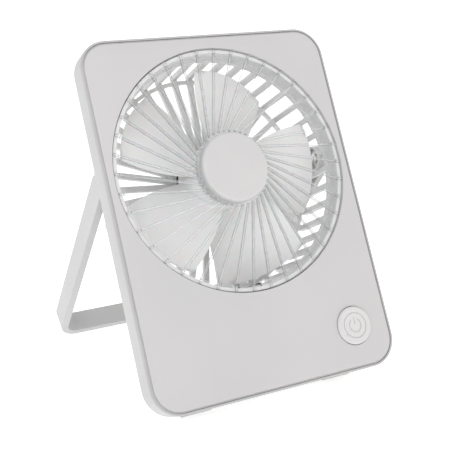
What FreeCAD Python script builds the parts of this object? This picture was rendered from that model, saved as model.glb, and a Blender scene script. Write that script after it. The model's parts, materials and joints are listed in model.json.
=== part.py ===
import FreeCAD, Part

import math
import os
import re

import Sketcher

# A slim rechargeable desk fan: a flat case leaning back on a folding U-shaped stand.
# Every piece except the stand is modelled in the case's own frame: the origin is where the fan's axis
# crosses the front face of the cover, x to the right, y up the case and z out towards the user, so a
# depth behind the cover is a negative z. The stand is modelled about its pivot, legs pointing down.

SIZES = {
    # case outline
    "body_width": 135,
    "body_height": 181,
    "body_corner": 14.7,
    "axis_below_top": 70,
    "lean_angle": 24.8,
    # rear shell: a shallow full-width tray, and behind its lower end a deeper bay for the battery
    "rim_setback": 0.3,
    "rim_lip": 1.1,
    "rim_wall": 3,
    "rim_depth": 12.6,
    "rim_front_round": 0.5,
    "rim_back_round": 1.5,
    "shell_wall": 2,
    "bay_depth": 25.5,
    "back_opening": 62.3,
    "bay_top": 62.5,
    "flank_inset": 6.2,
    "bay_bottom_inset": 3.2,
    "bay_corner": 11,
    "bay_round": 2,
    # front cover
    "cover_groove": 0.9,
    "cover_thickness": 2,
    "cover_step": 0.9,
    "cover_round": 0.5,
    "fit_gap": 0.2,
    # front grille
    "grille_radius": 62.3,
    "grille_flange": 1.2,
    "skirt_depth": 7,
    "skirt_wall": 1.1,
    "spoke_count": 40,
    "spoke_width": 1.3,
    "spoke_depth": 3,
    "spoke_proud": 0.2,
    "spoke_offset": 10.6,
    "spoke_phase": 4.1,
    "grille_hub_radius": 19.6,
    "grille_hub_rim": 1.4,
    "grille_hub_plate": 1.6,
    "cap_radius": 17.8,
    "cap_height": 3,
    "cap_wall": 1.8,
    "cap_round": 1.6,
    "cap_stud": 3,
    # impeller
    "hub_radius": 17.5,
    "hub_wall": 1.6,
    "hub_front": 8,
    "hub_back": 31,
    "hub_boss": 4,
    "hub_boss_depth": 3,
    "blade_count": 5,
    "blade_tip": 55,
    "blade_middle": 19,
    "blade_rise_root": 18,
    "blade_rise_tip": 16,
    "blade_span_root": 76,
    "blade_span_tip": 48,
    "blade_thickness": 1.6,
    "blade_phase": 250,
    # motor
    "shaft_radius": 1.5,
    "running_gap": 0.03,
    "bush_radius": 4,
    "bush_front": 13.5,
    "bush_back": 31,
    "tube_wall": 1.2,
    "yoke_wall": 1.2,
    "yoke_depth": 18,
    "magnet_wall": 1.6,
    "magnet_front": 12,
    "magnet_length": 14,
    "air_gap": 0.4,
    "core_front": 14,
    "core_length": 10,
    "pole_count": 6,
    "pole_width": 3.6,
    "core_hub": 7.4,
    "tooth_depth": 1.2,
    "coil_thickness": 1.1,
    "motor_board_front": 31.8,
    "motor_board_thickness": 1,
    "motor_board_radius": 14,
    "base_radius": 17,
    "base_thickness": 2,
    "shaft_end": 33.6,
    "clip_thickness": 0.5,
    "clip_radius": 2.6,
    "motor_screw_circle": 11.5,
    "motor_screw_count": 3,
    # rear grille basket, and the collar on it that the front grille plugs into
    "basket_radius": 61.2,
    "basket_depth": 37.5,
    "basket_side": 2.2,
    "basket_back": 2.4,
    "basket_round": 2.6,
    "basket_hub": 22,
    "slot_start": 11.4,
    "rib_width": 3,
    "tie_ring_outer": 58.2,
    "tie_ring_width": 2,
    "flange_radius": 64,
    "flange_front": 9.2,
    "collar_radius": 60.2,
    "collar_wall": 1.6,
    "lug_radius": 3.4,
    "lug_circle": 65.5,
    "lug_post_radius": 2.8,
    "lug_post_front": 4,
    "cheek_radius": 6.6,
    "cheek_inward": 1.5,
    # stand
    "pivot_height": 3,
    "pivot_depth": 19.2,
    "leg_thickness": 4,
    "leg_width": 12.4,
    "leg_past_bottom": 19.9,
    "stand_corner": 11,
    "stand_inner_corner": 7,
    "stub_radius": 4,
    "stub_bearing": 1.4,
    "stub_end_gap": 0.05,
    "hinge_gap": 0.05,
    "recess_radius": 5.6,
    "retainer_thickness": 0.5,
    "retainer_radius": 5,
    "pivot_screw_radius": 1,
    "pivot_head_radius": 2.5,
    "pivot_head_height": 0.7,
    "pivot_screw_length": 5,
    "friction_washer_radius": 6,
    "friction_washer_thickness": 0.4,
    # rubber feet
    "foot_spread": 40,
    "foot_length": 16,
    "foot_front": 19.5,
    "foot_back": 23.3,
    "foot_height": 3,
    # power button
    "button_inward": 21.6,
    "button_above_bottom": 22.2,
    "button_radius": 9.6,
    "button_gap": 0.3,
    "button_height": 1.2,
    "button_round": 0.9,
    "button_flange": 1.2,
    "button_flange_thickness": 1.1,
    "button_travel": 0.45,
    "button_groove_radius": 6.55,
    "button_groove_width": 0.5,
    "button_groove_depth": 0.35,
    "symbol_radius": 3.65,
    "symbol_line": 0.65,
    "symbol_gap": 3.4,
    "button_post": 2,
    # electronics
    "board_front": 8,
    "board_thickness": 1.6,
    "board_width": 44,
    "board_height": 31,
    "board_above_bottom": 13.5,
    "board_wall_gap": 1,
    "board_corner": 1.5,
    "switch_side": 6,
    "switch_height": 3.1,
    "plunger_radius": 1.7,
    "plunger_height": 0.5,
    "pad_radius": 8,
    "pad_wall": 1.6,
    "port_above_bottom": 31,
    "port_width": 9,
    "port_height": 3.2,
    "port_length": 7.2,
    "port_wall": 0.35,
    "port_front": 4.8,
    "port_setback": 0.5,
    "tongue_thickness": 0.7,
    # battery
    "cell_radius": 9.2,
    "cell_length": 65,
    "cell_inward": 11.8,
    "cell_above_bottom": 16.4,
    "cell_gap": 0.6,
    "cell_depth": 13,
    "tray_wall": 1.2,
    "tray_gap": 0.3,
    "tray_height": 9,
    "tab_thickness": 0.3,
    # fasteners
    "screw_radius": 1.3,
    "screw_hole_gap": 0.15,
    "screw_head_radius": 2.4,
    "screw_head_height": 1.6,
    "cover_post_radius": 3,
    "cover_post_length": 7,
    "shell_boss_radius": 3.6,
    "boss_seat_depth": 10.9,
    "pilot_floor": 1,
    "screw_tip_gap": 0.1,
    "grille_screw_length": 6,
    "small_screw_radius": 1,
    "small_head_radius": 1.9,
    "small_head_height": 1.2,
    "board_screw_length": 6,
    "motor_screw_length": 3.6,
    "lead_radius": 0.6,
    "lead_circle": 58.3,
    "lead_angle": 85.5,
    "lead_exit": 9.9,
}

# Where things stand, as expressions in the case's frame.
BOTTOM = "(axis_below_top - body_height)"
FLANK = "body_width / 2 - flank_inset"
LEG_LENGTH = "(pivot_height - %s + leg_past_bottom)" % BOTTOM
BUTTON_X = "body_width / 2 - button_inward"
BUTTON_Y = BOTTOM + " + button_above_bottom"
PORT_Y = BOTTOM + " + port_above_bottom"
BOARD_RIGHT = "(body_width / 2 - rim_wall - board_wall_gap)"
BOARD_LEFT = "(%s - board_width)" % BOARD_RIGHT
BOARD_BOTTOM = "(%s + board_above_bottom)" % BOTTOM
BOARD_TOP = "(%s + board_height)" % BOARD_BOTTOM
CELL_LEFT = "(cell_inward - (%s))" % FLANK
CELL_RIGHT = "(%s + cell_length)" % CELL_LEFT
CELL_Y = "(%s + cell_above_bottom)" % BOTTOM
CELL_SPACING = "(2 * cell_radius + cell_gap)"
UPPER_SCREWS = (
    ("-(body_width / 2 - 12.5)", "axis_below_top - 13"),
    ("body_width / 2 - 12.5", "axis_below_top - 13"),
    ("-(body_width / 2 - 10.5)", "6.5 - bay_top"),
    ("body_width / 2 - 10.5", "6.5 - bay_top"),
)
LOWER_SCREWS = (("-(%s - 5.8)" % FLANK, BOTTOM + " + 9"), (FLANK + " - 5.8", BOTTOM + " + 9"))
COVER_SCREWS = UPPER_SCREWS + LOWER_SCREWS
BOARD_SCREWS = (
    (BOARD_LEFT + " + 3.5", BOARD_BOTTOM + " + 3.5"),
    (BOARD_LEFT + " + 3.5", BOARD_TOP + " - 3.5"),
    (BOARD_RIGHT + " - 7.5", BOARD_TOP + " - 3"),
)
TRAY_SCREWS = (
    (CELL_LEFT + " - 4.3", CELL_Y + " + 10.6"),
    (CELL_RIGHT + " + 4.3", CELL_Y + " + 10.6"),
)

doc = FreeCAD.newDocument("desk_fan")
sheet = doc.addObject("Spreadsheet::Sheet", "Sizes")
for row, (alias, number) in enumerate(SIZES.items(), start=1):
    sheet.set("A%d" % row, alias)
    sheet.set("B%d" % row, str(number))
    sheet.setAlias("B%d" % row, alias)
doc.recompute()

PARTS = []
STAND_PARTS = []


# ---------------------------------------------------------------- expressions and places

def formula(text):
    """Turns plain size names into references to the spreadsheet."""
    return re.sub(r"[a-z_]\w*", lambda word: sheet_name(word.group()), text)


def sheet_name(word):
    return "Sizes." + word if word in SIZES else word


def size(text):
    """The number that an expression of sizes gives."""
    result = sheet.evalExpression(formula(text))
    return float(getattr(result, "Value", result))


def bind(thing, path, text):
    thing.setExpression(path, formula(text))


def keep(thing, stand=False):
    """Counts an object as a finished sub-part; its Label names its file."""
    (STAND_PARTS if stand else PARTS).append(thing)
    return thing


# ---------------------------------------------------------------- sketches and features

def new_body(label, stand=False):
    body = doc.addObject("PartDesign::Body", label)
    body.Label = label
    return keep(body, stand)


def origin_feature(body, role):
    return next(item for item in body.Origin.OriginFeatures if item.Role == role)


def new_sketch(body, name, height="0", plane="XY_Plane"):
    sketch = body.newObject("Sketcher::SketchObject", body.Label + "_" + name)
    sketch.AttachmentSupport = [(origin_feature(body, plane), "")]
    sketch.MapMode = "FlatFace"
    bind(sketch, "AttachmentOffset.Base.z", height)
    return sketch


def constrain(sketch, kind, places, text):
    number = sketch.addConstraint(Sketcher.Constraint(kind, *places, size(text)))
    bind(sketch, "Constraints[%d]" % number, text)


def place_point(sketch, shape, point, x, y):
    constrain(sketch, "DistanceX", (-1, 1, shape, point), x)
    constrain(sketch, "DistanceY", (-1, 1, shape, point), y)


def draw_circle(sketch, x, y, radius):
    centre = FreeCAD.Vector(size(x), size(y), 0)
    circle = Part.Circle(centre, FreeCAD.Vector(0, 0, 1), size(radius))
    shape = sketch.addGeometry(circle, False)
    constrain(sketch, "Radius", (shape,), radius)
    place_point(sketch, shape, 3, x, y)


def draw_polygon(sketch, points):
    """A closed outline whose corners are pairs of expressions."""
    corners = [FreeCAD.Vector(size(x), size(y), 0) for x, y in points]
    lines = []
    for start, end in zip(corners, corners[1:] + corners[:1]):
        lines.append(sketch.addGeometry(Part.LineSegment(start, end), False))
    for line, following in zip(lines, lines[1:] + lines[:1]):
        sketch.addConstraint(Sketcher.Constraint("Coincident", line, 2, following, 1))
    for line, (x, y) in zip(lines, points):
        place_point(sketch, line, 1, x, y)


def draw_rounded_rectangle(sketch, left, right, bottom, top, radius):
    x1, x2, y1, y2, r = [size(text) for text in (left, right, bottom, top, radius)]
    point = FreeCAD.Vector
    sides = [
        Part.LineSegment(point(x1 + r, y1, 0), point(x2 - r, y1, 0)),
        Part.LineSegment(point(x2, y1 + r, 0), point(x2, y2 - r, 0)),
        Part.LineSegment(point(x2 - r, y2, 0), point(x1 + r, y2, 0)),
        Part.LineSegment(point(x1, y2 - r, 0), point(x1, y1 + r, 0)),
    ]
    centres = [(x2 - r, y1 + r), (x2 - r, y2 - r), (x1 + r, y2 - r), (x1 + r, y1 + r)]
    corners = []
    for turn, (x, y) in enumerate(centres):
        circle = Part.Circle(point(x, y, 0), point(0, 0, 1), r)
        start = (turn - 1) * math.pi / 2
        corners.append(Part.ArcOfCircle(circle, start, start + math.pi / 2))
    shapes = sketch.addGeometry(sides + corners, False)
    side, corner = shapes[:4], shapes[4:]
    for turn in range(4):
        sketch.addConstraint(Sketcher.Constraint("Tangent", side[turn], 2, corner[turn], 1))
        sketch.addConstraint(Sketcher.Constraint("Tangent", corner[turn], 2, side[(turn + 1) % 4], 1))
    for turn in (0, 2):
        sketch.addConstraint(Sketcher.Constraint("Horizontal", side[turn]))
        sketch.addConstraint(Sketcher.Constraint("Vertical", side[turn + 1]))
    for turn in (1, 2, 3):
        sketch.addConstraint(Sketcher.Constraint("Equal", corner[0], corner[turn]))
    constrain(sketch, "Radius", (corner[0],), radius)
    constrain(sketch, "DistanceX", (-1, 1, side[3], 1), left)
    constrain(sketch, "DistanceX", (-1, 1, side[1], 1), right)
    constrain(sketch, "DistanceY", (-1, 1, side[0], 1), bottom)
    constrain(sketch, "DistanceY", (-1, 1, side[2], 1), top)


def pad(sketch, length, middle=False):
    """Adds material from the sketch along its normal, or half of it to each side."""
    body = sketch.getParentGeoFeatureGroup()
    feature = body.newObject("PartDesign::Pad", sketch.Name + "_pad")
    feature.Profile = sketch
    feature.Midplane = middle
    bind(feature, "Length", length)
    doc.recompute()
    return feature


def pocket(sketch, length, forward=False, middle=False):
    """Cuts against the sketch's normal, or along it; a pocket that cuts nothing is an error."""
    body = sketch.getParentGeoFeatureGroup()
    before = body.Shape.Volume
    feature = body.newObject("PartDesign::Pocket", sketch.Name + "_pocket")
    feature.Profile = sketch
    feature.Reversed = forward
    feature.Midplane = middle
    bind(feature, "Length", length)
    doc.recompute()
    if body.Shape.Volume > before - 1e-4:
        raise RuntimeError(sketch.Name + " cuts nothing")
    return feature


def revolve(sketch):
    body = sketch.getParentGeoFeatureGroup()
    feature = body.newObject("PartDesign::Revolution", sketch.Name + "_turned")
    feature.Profile = sketch
    feature.ReferenceAxis = (origin_feature(body, "Z_Axis"), [""])
    feature.Angle = 360
    doc.recompute()
    return feature


def round_edges(feature, chosen, radius, name):
    """Rounds the edges of a feature for which the test chosen(edge) is true."""
    body = feature.getParentGeoFeatureGroup()
    edges = ["Edge%d" % (i + 1) for i, edge in enumerate(feature.Shape.Edges) if chosen(edge)]
    fillet = body.newObject("PartDesign::Fillet", body.Label + "_" + name)
    fillet.Base = (feature, edges)
    bind(fillet, "Radius", radius)
    doc.recompute()
    return fillet


def edges_at_height(height):
    level = size(height)

    def chosen(edge):
        box = edge.BoundBox
        return abs(box.ZMin - level) < 1e-4 and abs(box.ZMax - level) < 1e-4

    return chosen


def repeat_around(feature, count):
    body = feature.getParentGeoFeatureGroup()
    pattern = body.newObject("PartDesign::PolarPattern", feature.Name + "_around")
    pattern.Originals = [feature]
    pattern.Axis = (origin_feature(body, "Z_Axis"), [""])
    pattern.Angle = 360
    bind(pattern, "Occurrences", count)
    body.Tip = pattern
    doc.recompute()
    return pattern


def mirror_across(feature):
    body = feature.getParentGeoFeatureGroup()
    mirrored = body.newObject("PartDesign::Mirrored", feature.Name + "_mirrored")
    mirrored.Originals = [feature]
    mirrored.MirrorPlane = (origin_feature(body, "YZ_Plane"), [""])
    body.Tip = mirrored
    doc.recompute()
    return mirrored


# ---------------------------------------------------------------- primitives and booleans

def cylinder(name, radius, length, x="0", y="0", z="0", along="z"):
    thing = doc.addObject("Part::Cylinder", name)
    bind(thing, "Radius", radius)
    bind(thing, "Height", length)
    if along == "x":
        thing.Placement.Rotation = FreeCAD.Rotation(FreeCAD.Vector(0, 1, 0), 90)
    bind(thing, "Placement.Base.x", x)
    bind(thing, "Placement.Base.y", y)
    bind(thing, "Placement.Base.z", z)
    return thing


def block(name, low, length):
    """A box from its lowest corner and its three lengths."""
    thing = doc.addObject("Part::Box", name)
    for key, text in zip(("Length", "Width", "Height"), length):
        bind(thing, key, text)
    for key, text in zip("xyz", low):
        bind(thing, "Placement.Base." + key, text)
    return thing


def cut(name, base, tool):
    thing = doc.addObject("Part::Cut", name)
    thing.Base = base
    thing.Tool = tool
    doc.recompute()
    return thing


def fuse(name, things):
    thing = doc.addObject("Part::MultiFuse", name)
    thing.Shapes = things
    doc.recompute()
    return thing


def group(label, things, stand=False):
    """Identical or related loose solids that share one sub-part."""
    thing = doc.addObject("Part::Compound", label)
    thing.Label = label
    thing.Links = things
    doc.recompute()
    return keep(thing, stand)


def tube(name, outer, inner, low, high):
    """A plain ring about the fan's axis between two depths, low being the deeper."""
    length = "(%s) - (%s)" % (low, high)
    bottom = "-(%s)" % low
    solid = cylinder(name + "_solid", outer, length, z=bottom)
    bore = cylinder(name + "_bore", inner, length, z=bottom)
    return cut(name, solid, bore)


def finished(thing, label, stand=False):
    thing.Label = label
    return keep(thing, stand)


# ---------------------------------------------------------------- case

def outline(inset):
    """The case's outline, a stated distance inside its edge."""
    half = "body_width / 2 - (%s)" % inset
    bottom = BOTTOM + " + (%s)" % inset
    top = "axis_below_top - (%s)" % inset
    return "-(%s)" % half, half, bottom, top, "body_corner - (%s)" % inset


def bay_outline(inset):
    half = "body_width / 2 - flank_inset - (%s)" % inset
    bottom = BOTTOM + " + bay_bottom_inset + (%s)" % inset
    return "-(%s)" % half, half, bottom, "-bay_top - (%s)" % inset, "bay_corner - (%s)" % inset


BAY_FLOOR = "bay_depth - shell_wall"
BACK_WALL = "rim_depth - shell_wall"
POST_END = "cover_thickness + cover_post_length"
LEAD_X = "lead_circle * cos(lead_angle)"


def lug_places():
    diagonal = "lug_circle * sqrt(2) / 2"
    return [(sx + diagonal, sy + diagonal) for sx in ("", "-") for sy in ("", "-")]


def draw_circles(sketch, places, radius):
    for x, y in places:
        draw_circle(sketch, x, y, radius)


def make_front_cover():
    """A plate with a lower step round its edge, which is the floor of the groove beside the rim."""
    body = new_body("front_cover")
    seat = new_sketch(body, "seat", "-cover_thickness")
    draw_rounded_rectangle(seat, *outline("rim_lip + fit_gap"))
    pad(seat, "cover_thickness - cover_step")
    plate = new_sketch(body, "plate", "-cover_step")
    draw_rounded_rectangle(plate, *outline("rim_lip + cover_groove"))
    face = pad(plate, "cover_step")
    round_edges(face, edges_at_height("0"), "cover_round", "edge")
    holes = new_sketch(body, "holes", "0")
    draw_circle(holes, "0", "0", "grille_radius + fit_gap")
    draw_circle(holes, BUTTON_X, BUTTON_Y, "button_radius + button_gap")
    pocket(holes, "cover_thickness")
    posts = new_sketch(body, "posts", "-(%s)" % POST_END)
    draw_circles(posts, COVER_SCREWS, "cover_post_radius")
    pad(posts, "cover_post_length")
    pilots = new_sketch(body, "pilots", "-(%s)" % POST_END)
    draw_circles(pilots, COVER_SCREWS, "screw_radius")
    pocket(pilots, "cover_post_length - pilot_floor", forward=True)


def make_rear_shell():
    body = new_body("rear_shell")
    rim = new_sketch(body, "rim", "-rim_depth")
    draw_rounded_rectangle(rim, *outline("0"))
    rim_pad = pad(rim, "rim_depth - rim_setback")
    front = round_edges(rim_pad, edges_at_height("-rim_setback"), "rim_front_round", "front_edge")
    round_edges(front, edges_at_height("-rim_depth"), "rim_back_round", "back_edge")
    bay = new_sketch(body, "bay", "-bay_depth")
    draw_rounded_rectangle(bay, *bay_outline("0"))
    bay_pad = pad(bay, "bay_depth - rim_depth")
    round_edges(bay_pad, edges_at_height("-bay_depth"), "bay_round", "bay_edge")
    recess = new_sketch(body, "cover_recess", "-rim_setback")
    draw_rounded_rectangle(recess, *outline("rim_lip"))
    pocket(recess, "cover_thickness - rim_setback")
    cavity = new_sketch(body, "cavity", "-cover_thickness")
    draw_rounded_rectangle(cavity, *outline("rim_wall"))
    pocket(cavity, "%s - cover_thickness" % BACK_WALL)
    deep = new_sketch(body, "bay_cavity", "-(%s)" % BACK_WALL)
    draw_rounded_rectangle(deep, *bay_outline("shell_wall"))
    pocket(deep, "bay_depth - rim_depth")
    opening = new_sketch(body, "back_opening", "-(%s)" % BACK_WALL)
    draw_circle(opening, "0", "0", "back_opening")
    pocket(opening, "shell_wall")
    add_cover_bosses(body)
    add_bay_posts(body)
    add_grille_holes(body)
    add_port_mouth(body)


def add_cover_bosses(body):
    """Seats for the cover's screws: short on the back wall, and as deep as the bay at the lower end."""
    for name, places, floor, back in (
        ("upper", UPPER_SCREWS, BACK_WALL, "rim_depth"),
        ("lower", LOWER_SCREWS, BAY_FLOOR, "bay_depth"),
    ):
        bosses = new_sketch(body, name + "_bosses", "-(%s)" % floor)
        draw_circles(bosses, places, "shell_boss_radius")
        pad(bosses, "%s - (%s)" % (floor, POST_END))
        bores = new_sketch(body, name + "_counterbores", "-" + back)
        draw_circles(bores, places, "screw_head_radius + fit_gap")
        pocket(bores, back + " - boss_seat_depth", forward=True)
        holes = new_sketch(body, name + "_boss_holes", "-" + back)
        draw_circles(holes, places, "screw_radius + screw_hole_gap")
        pocket(holes, "%s - (%s)" % (back, POST_END), forward=True)


def add_bay_posts(body):
    """Posts on the bay's floor for the main board and for the battery tray's ears."""
    seats = new_sketch(body, "board_posts", "-(%s)" % BAY_FLOOR)
    draw_circles(seats, BOARD_SCREWS, "cover_post_radius")
    pad(seats, "bay_depth - shell_wall - board_front - board_thickness")
    pilots = new_sketch(body, "board_pilots", "-(board_front + board_thickness)")
    draw_circles(pilots, BOARD_SCREWS, "small_screw_radius")
    pocket(pilots, "board_screw_length")
    ears = new_sketch(body, "tray_posts", "-(%s)" % BAY_FLOOR)
    draw_circles(ears, TRAY_SCREWS, "small_head_radius + 0.4")
    pad(ears, "tray_height - 2 * tray_wall")
    ear_pilots = new_sketch(body, "tray_pilots", "-(bay_depth - shell_wall - tray_height + 2 * tray_wall)")
    draw_circles(ear_pilots, TRAY_SCREWS, "small_screw_radius")
    pocket(ear_pilots, "board_screw_length - 1")


def add_grille_holes(body):
    """Holes in the back wall for the screws that hold the rear grille, with sunk seats for their heads."""
    heads = new_sketch(body, "grille_head_seats", "-rim_depth")
    draw_circles(heads, lug_places(), "small_head_radius + fit_gap")
    pocket(heads, "small_head_height", forward=True)
    holes = new_sketch(body, "grille_holes", "-rim_depth")
    draw_circles(holes, lug_places(), "small_screw_radius + screw_hole_gap")
    pocket(holes, "shell_wall", forward=True)


def add_port_mouth(body):
    port = new_sketch(body, "port", "body_width / 2 - rim_wall - 1", "YZ_Plane")
    draw_rounded_rectangle(
        port,
        PORT_Y + " - port_width / 2 - fit_gap",
        PORT_Y + " + port_width / 2 + fit_gap",
        "-port_front - port_height - fit_gap",
        "-port_front + fit_gap",
        "port_height / 2",
    )
    pocket(port, "rim_wall + 2", forward=True)


def make_base_feet():
    """Two rubber feet under the bay, with soles cut level for the working lean."""
    body = new_body("base_feet")
    section = new_sketch(body, "section", "foot_spread - foot_length / 2", "YZ_Plane")
    seat = "axis_below_top - body_height + bay_bottom_inset"
    sole = seat + " - foot_height"
    drop = "(foot_back - foot_front) * tan(lean_angle)"
    draw_polygon(section, [
        (seat, "-foot_front"),
        (seat, "-foot_back"),
        (sole, "-foot_back"),
        (sole + " - " + drop, "-foot_front"),
    ])
    mirror_across(pad(section, "foot_length"))


# ---------------------------------------------------------------- front grille and cap

def make_front_grille():
    body = new_body("front_grille")
    flange = new_sketch(body, "flange", "-grille_flange")
    draw_circle(flange, "0", "0", "grille_radius")
    draw_circle(flange, "0", "0", "collar_radius - fit_gap - skirt_wall")
    pad(flange, "grille_flange")
    skirt = new_sketch(body, "skirt", "-skirt_depth")
    draw_circle(skirt, "0", "0", "collar_radius - fit_gap")
    draw_circle(skirt, "0", "0", "collar_radius - fit_gap - skirt_wall")
    pad(skirt, "skirt_depth")
    hub = new_sketch(body, "hub", "-spoke_depth + spoke_proud")
    draw_circle(hub, "0", "0", "grille_hub_radius")
    draw_circle(hub, "0", "0", "grille_hub_radius - grille_hub_rim")
    pad(hub, "spoke_depth")
    spoke = new_sketch(body, "spoke", "-spoke_depth + spoke_proud")
    draw_spoke(spoke)
    repeat_around(pad(spoke, "spoke_depth"), "spoke_count")
    plate = new_sketch(body, "hub_plate", "-spoke_depth + spoke_proud")
    draw_circle(plate, "0", "0", "grille_hub_radius - grille_hub_rim / 2")
    draw_circle(plate, "0", "0", "cap_stud + fit_gap / 2")
    pad(plate, "grille_hub_plate")


def draw_spoke(sketch):
    """A straight bar whose middle line passes the axis at spoke_offset."""
    inner = "sqrt((grille_hub_radius - 0.5) ^ 2 - spoke_offset ^ 2)"
    outer = "sqrt((collar_radius - fit_gap - 0.4) ^ 2 - spoke_offset ^ 2)"
    corners = []
    for along, side in ((inner, "-"), (outer, "-"), (outer, "+"), (inner, "+")):
        across = "(spoke_offset %s spoke_width / 2)" % side
        x = "%s * cos(spoke_phase) - %s * sin(spoke_phase)" % (along, across)
        y = "%s * sin(spoke_phase) + %s * cos(spoke_phase)" % (along, across)
        corners.append((x, y))
    draw_polygon(sketch, corners)


def make_grille_cap():
    body = new_body("grille_cap")
    back = "-(spoke_depth - spoke_proud - grille_hub_plate)"
    disc = new_sketch(body, "disc", back)
    draw_circle(disc, "0", "0", "cap_radius")
    solid = pad(disc, "cap_height - (%s)" % back)
    round_edges(solid, edges_at_height("cap_height"), "cap_round", "edge")
    inside = new_sketch(body, "inside", back)
    draw_circle(inside, "0", "0", "cap_radius - cap_wall")
    pocket(inside, "cap_height - (%s) - cap_wall" % back, forward=True)
    stud = new_sketch(body, "stud", "-spoke_depth + spoke_proud")
    draw_circle(stud, "0", "0", "cap_stud")
    pad(stud, "spoke_depth - spoke_proud + cap_height - cap_wall / 2")


# ---------------------------------------------------------------- impeller and motor

def blade_point(radius, share, side):
    """A point of a blade: share runs from the leading edge (0) to the trailing edge (1)."""
    root = size("hub_radius - hub_wall / 2")
    out = (radius - root) / (size("blade_tip") - root)
    span = size("blade_span_root") + out * (size("blade_span_tip") - size("blade_span_root"))
    rise = size("blade_rise_root") + out * (size("blade_rise_tip") - size("blade_rise_root"))
    angle = math.radians(span * (share - 0.5))
    camber = 0.09 * rise * math.sin(math.pi * share)
    taper = 0.35 + 0.65 * math.sin(math.pi * share)
    height = -size("blade_middle") + rise * (share - 0.5) + camber
    height += side * taper * size("blade_thickness") / 2
    return FreeCAD.Vector(radius * math.cos(angle), radius * math.sin(angle), height)


def blade_face(side):
    root = size("hub_radius - hub_wall / 2")
    tip = size("blade_tip")
    radii = [root + step * (tip - root) / 5 for step in range(6)]
    grid = [[blade_point(radius, step / 8, side) for step in range(9)] for radius in radii]
    surface = Part.BSplineSurface()
    surface.interpolate(grid)
    return surface


def blade_solid():
    front = blade_face(1)
    back = blade_face(-1)
    faces = [front.toShape(), back.toShape()]
    for at in (0, 1):
        faces.append(Part.makeRuledSurface(front.uIso(at).toShape(), back.uIso(at).toShape()))
        faces.append(Part.makeRuledSurface(front.vIso(at).toShape(), back.vIso(at).toShape()))
    shell = Part.Shell(faces)
    shell.sewShape()
    solid = Part.Solid(shell)
    if solid.Volume < 0:
        solid.reverse()
    return solid


def make_impeller():
    """Cupped hub and broad twisted blades, moulded in one piece."""
    cup = cylinder("hub_cup", "hub_radius", "hub_back - hub_front", z="-hub_back")
    inside = cylinder("hub_inside", "hub_radius - hub_wall", "hub_back - hub_front - hub_wall", z="-hub_back")
    shell = cut("hub_shell", cup, inside)
    boss = cylinder("hub_boss", "hub_boss", "hub_boss_depth + hub_wall", z="-(hub_front + hub_wall + hub_boss_depth)")
    pieces = [shell, boss]
    axis = FreeCAD.Vector(0, 0, 1)
    count = int(size("blade_count"))
    for number in range(count):
        blade = doc.addObject("Part::Feature", "blade_%d" % number)
        blade.Shape = blade_solid()
        turn = size("blade_phase") + 180 / count + 360 * number / count
        blade.Placement = FreeCAD.Placement(FreeCAD.Vector(), FreeCAD.Rotation(axis, turn))
        pieces.append(blade)
    solid = fuse("impeller_solid", pieces)
    bore = cylinder("hub_bore", "shaft_radius", "hub_boss_depth + hub_wall", z="-(hub_front + hub_wall + hub_boss_depth)")
    finished(cut("impeller", solid, bore), "impeller")


YOKE_OUTER = "hub_radius - hub_wall"
MAGNET_OUTER = YOKE_OUTER + " - yoke_wall"
CORE_OUTER = MAGNET_OUTER + " - magnet_wall - air_gap"
TUBE_OUTER = "bush_radius + tube_wall"
BASE_FRONT = "basket_depth - basket_back - base_thickness"


def make_rotor():
    front = "hub_front + hub_wall"
    finished(tube("rotor_yoke", YOKE_OUTER, MAGNET_OUTER, front + " + yoke_depth", front), "rotor_yoke")
    ring = tube("rotor_magnet", MAGNET_OUTER, MAGNET_OUTER + " - magnet_wall",
                "magnet_front + magnet_length", "magnet_front")
    finished(ring, "rotor_magnet")
    shaft = cylinder("shaft_blank", "shaft_radius", "shaft_end - hub_front", z="-shaft_end")
    neck = tube("clip_groove", "shaft_radius + 1", "shaft_radius - 0.3",
                "bush_back + 0.3 + clip_thickness", "bush_back + 0.3")
    finished(cut("shaft_turned", shaft, neck), "motor_shaft")
    clip = tube("shaft_clip", "clip_radius", "shaft_radius - 0.3",
                "bush_back + 0.3 + clip_thickness", "bush_back + 0.3")
    finished(clip, "shaft_clip")


def make_stator():
    core = tube("core_middle", "core_hub", TUBE_OUTER, "core_front + core_length", "core_front")
    rim = tube("core_rim", CORE_OUTER, CORE_OUTER + " - tooth_depth", "core_front + core_length", "core_front")
    arms = []
    coils = []
    slots = []
    count = int(size("pole_count"))
    axis = FreeCAD.Vector(0, 0, 1)
    inner = "core_hub - 0.5"
    reach = CORE_OUTER + " - tooth_depth / 2 - core_hub + 0.5"
    for number in range(count):
        turn = FreeCAD.Rotation(axis, 360 * number / count)
        arm = block("pole_%d" % number, (inner, "-pole_width / 2", "-(core_front + core_length)"),
                    (reach, "pole_width", "core_length"))
        arms.append(turned(arm, turn))
        slot = block("pole_gap_%d" % number, (CORE_OUTER + " - 2 * tooth_depth", "-0.6", "-(core_front + core_length)"),
                     ("3 * tooth_depth", "1.2", "core_length"))
        slots.append(turned(slot, FreeCAD.Rotation(axis, 360 * (number + 0.5) / count)))
        coils.append(turned(make_coil(number), turn))
    iron = fuse("core_solid", [core, rim] + arms)
    finished(cut("stator_core", iron, fuse("pole_gaps", slots)), "stator_core")
    group("stator_coils", coils)


def make_coil(number):
    """A winding around one pole: a block with a hole for the pole."""
    name = "coil_%d" % number
    start = "core_hub + 0.4"
    length = CORE_OUTER + " - tooth_depth - core_hub - 0.8"
    wide = "pole_width + 2 * coil_thickness"
    deep = "core_length + 2 * coil_thickness"
    body = block(name + "_body", (start, "-(%s) / 2" % wide, "-(core_front + core_length + coil_thickness)"),
                 (length, wide, deep))
    hole = block(name + "_hole", (start, "-pole_width / 2", "-(core_front + core_length)"),
                 (length, "pole_width", "core_length"))
    return cut(name, body, hole)


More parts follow.
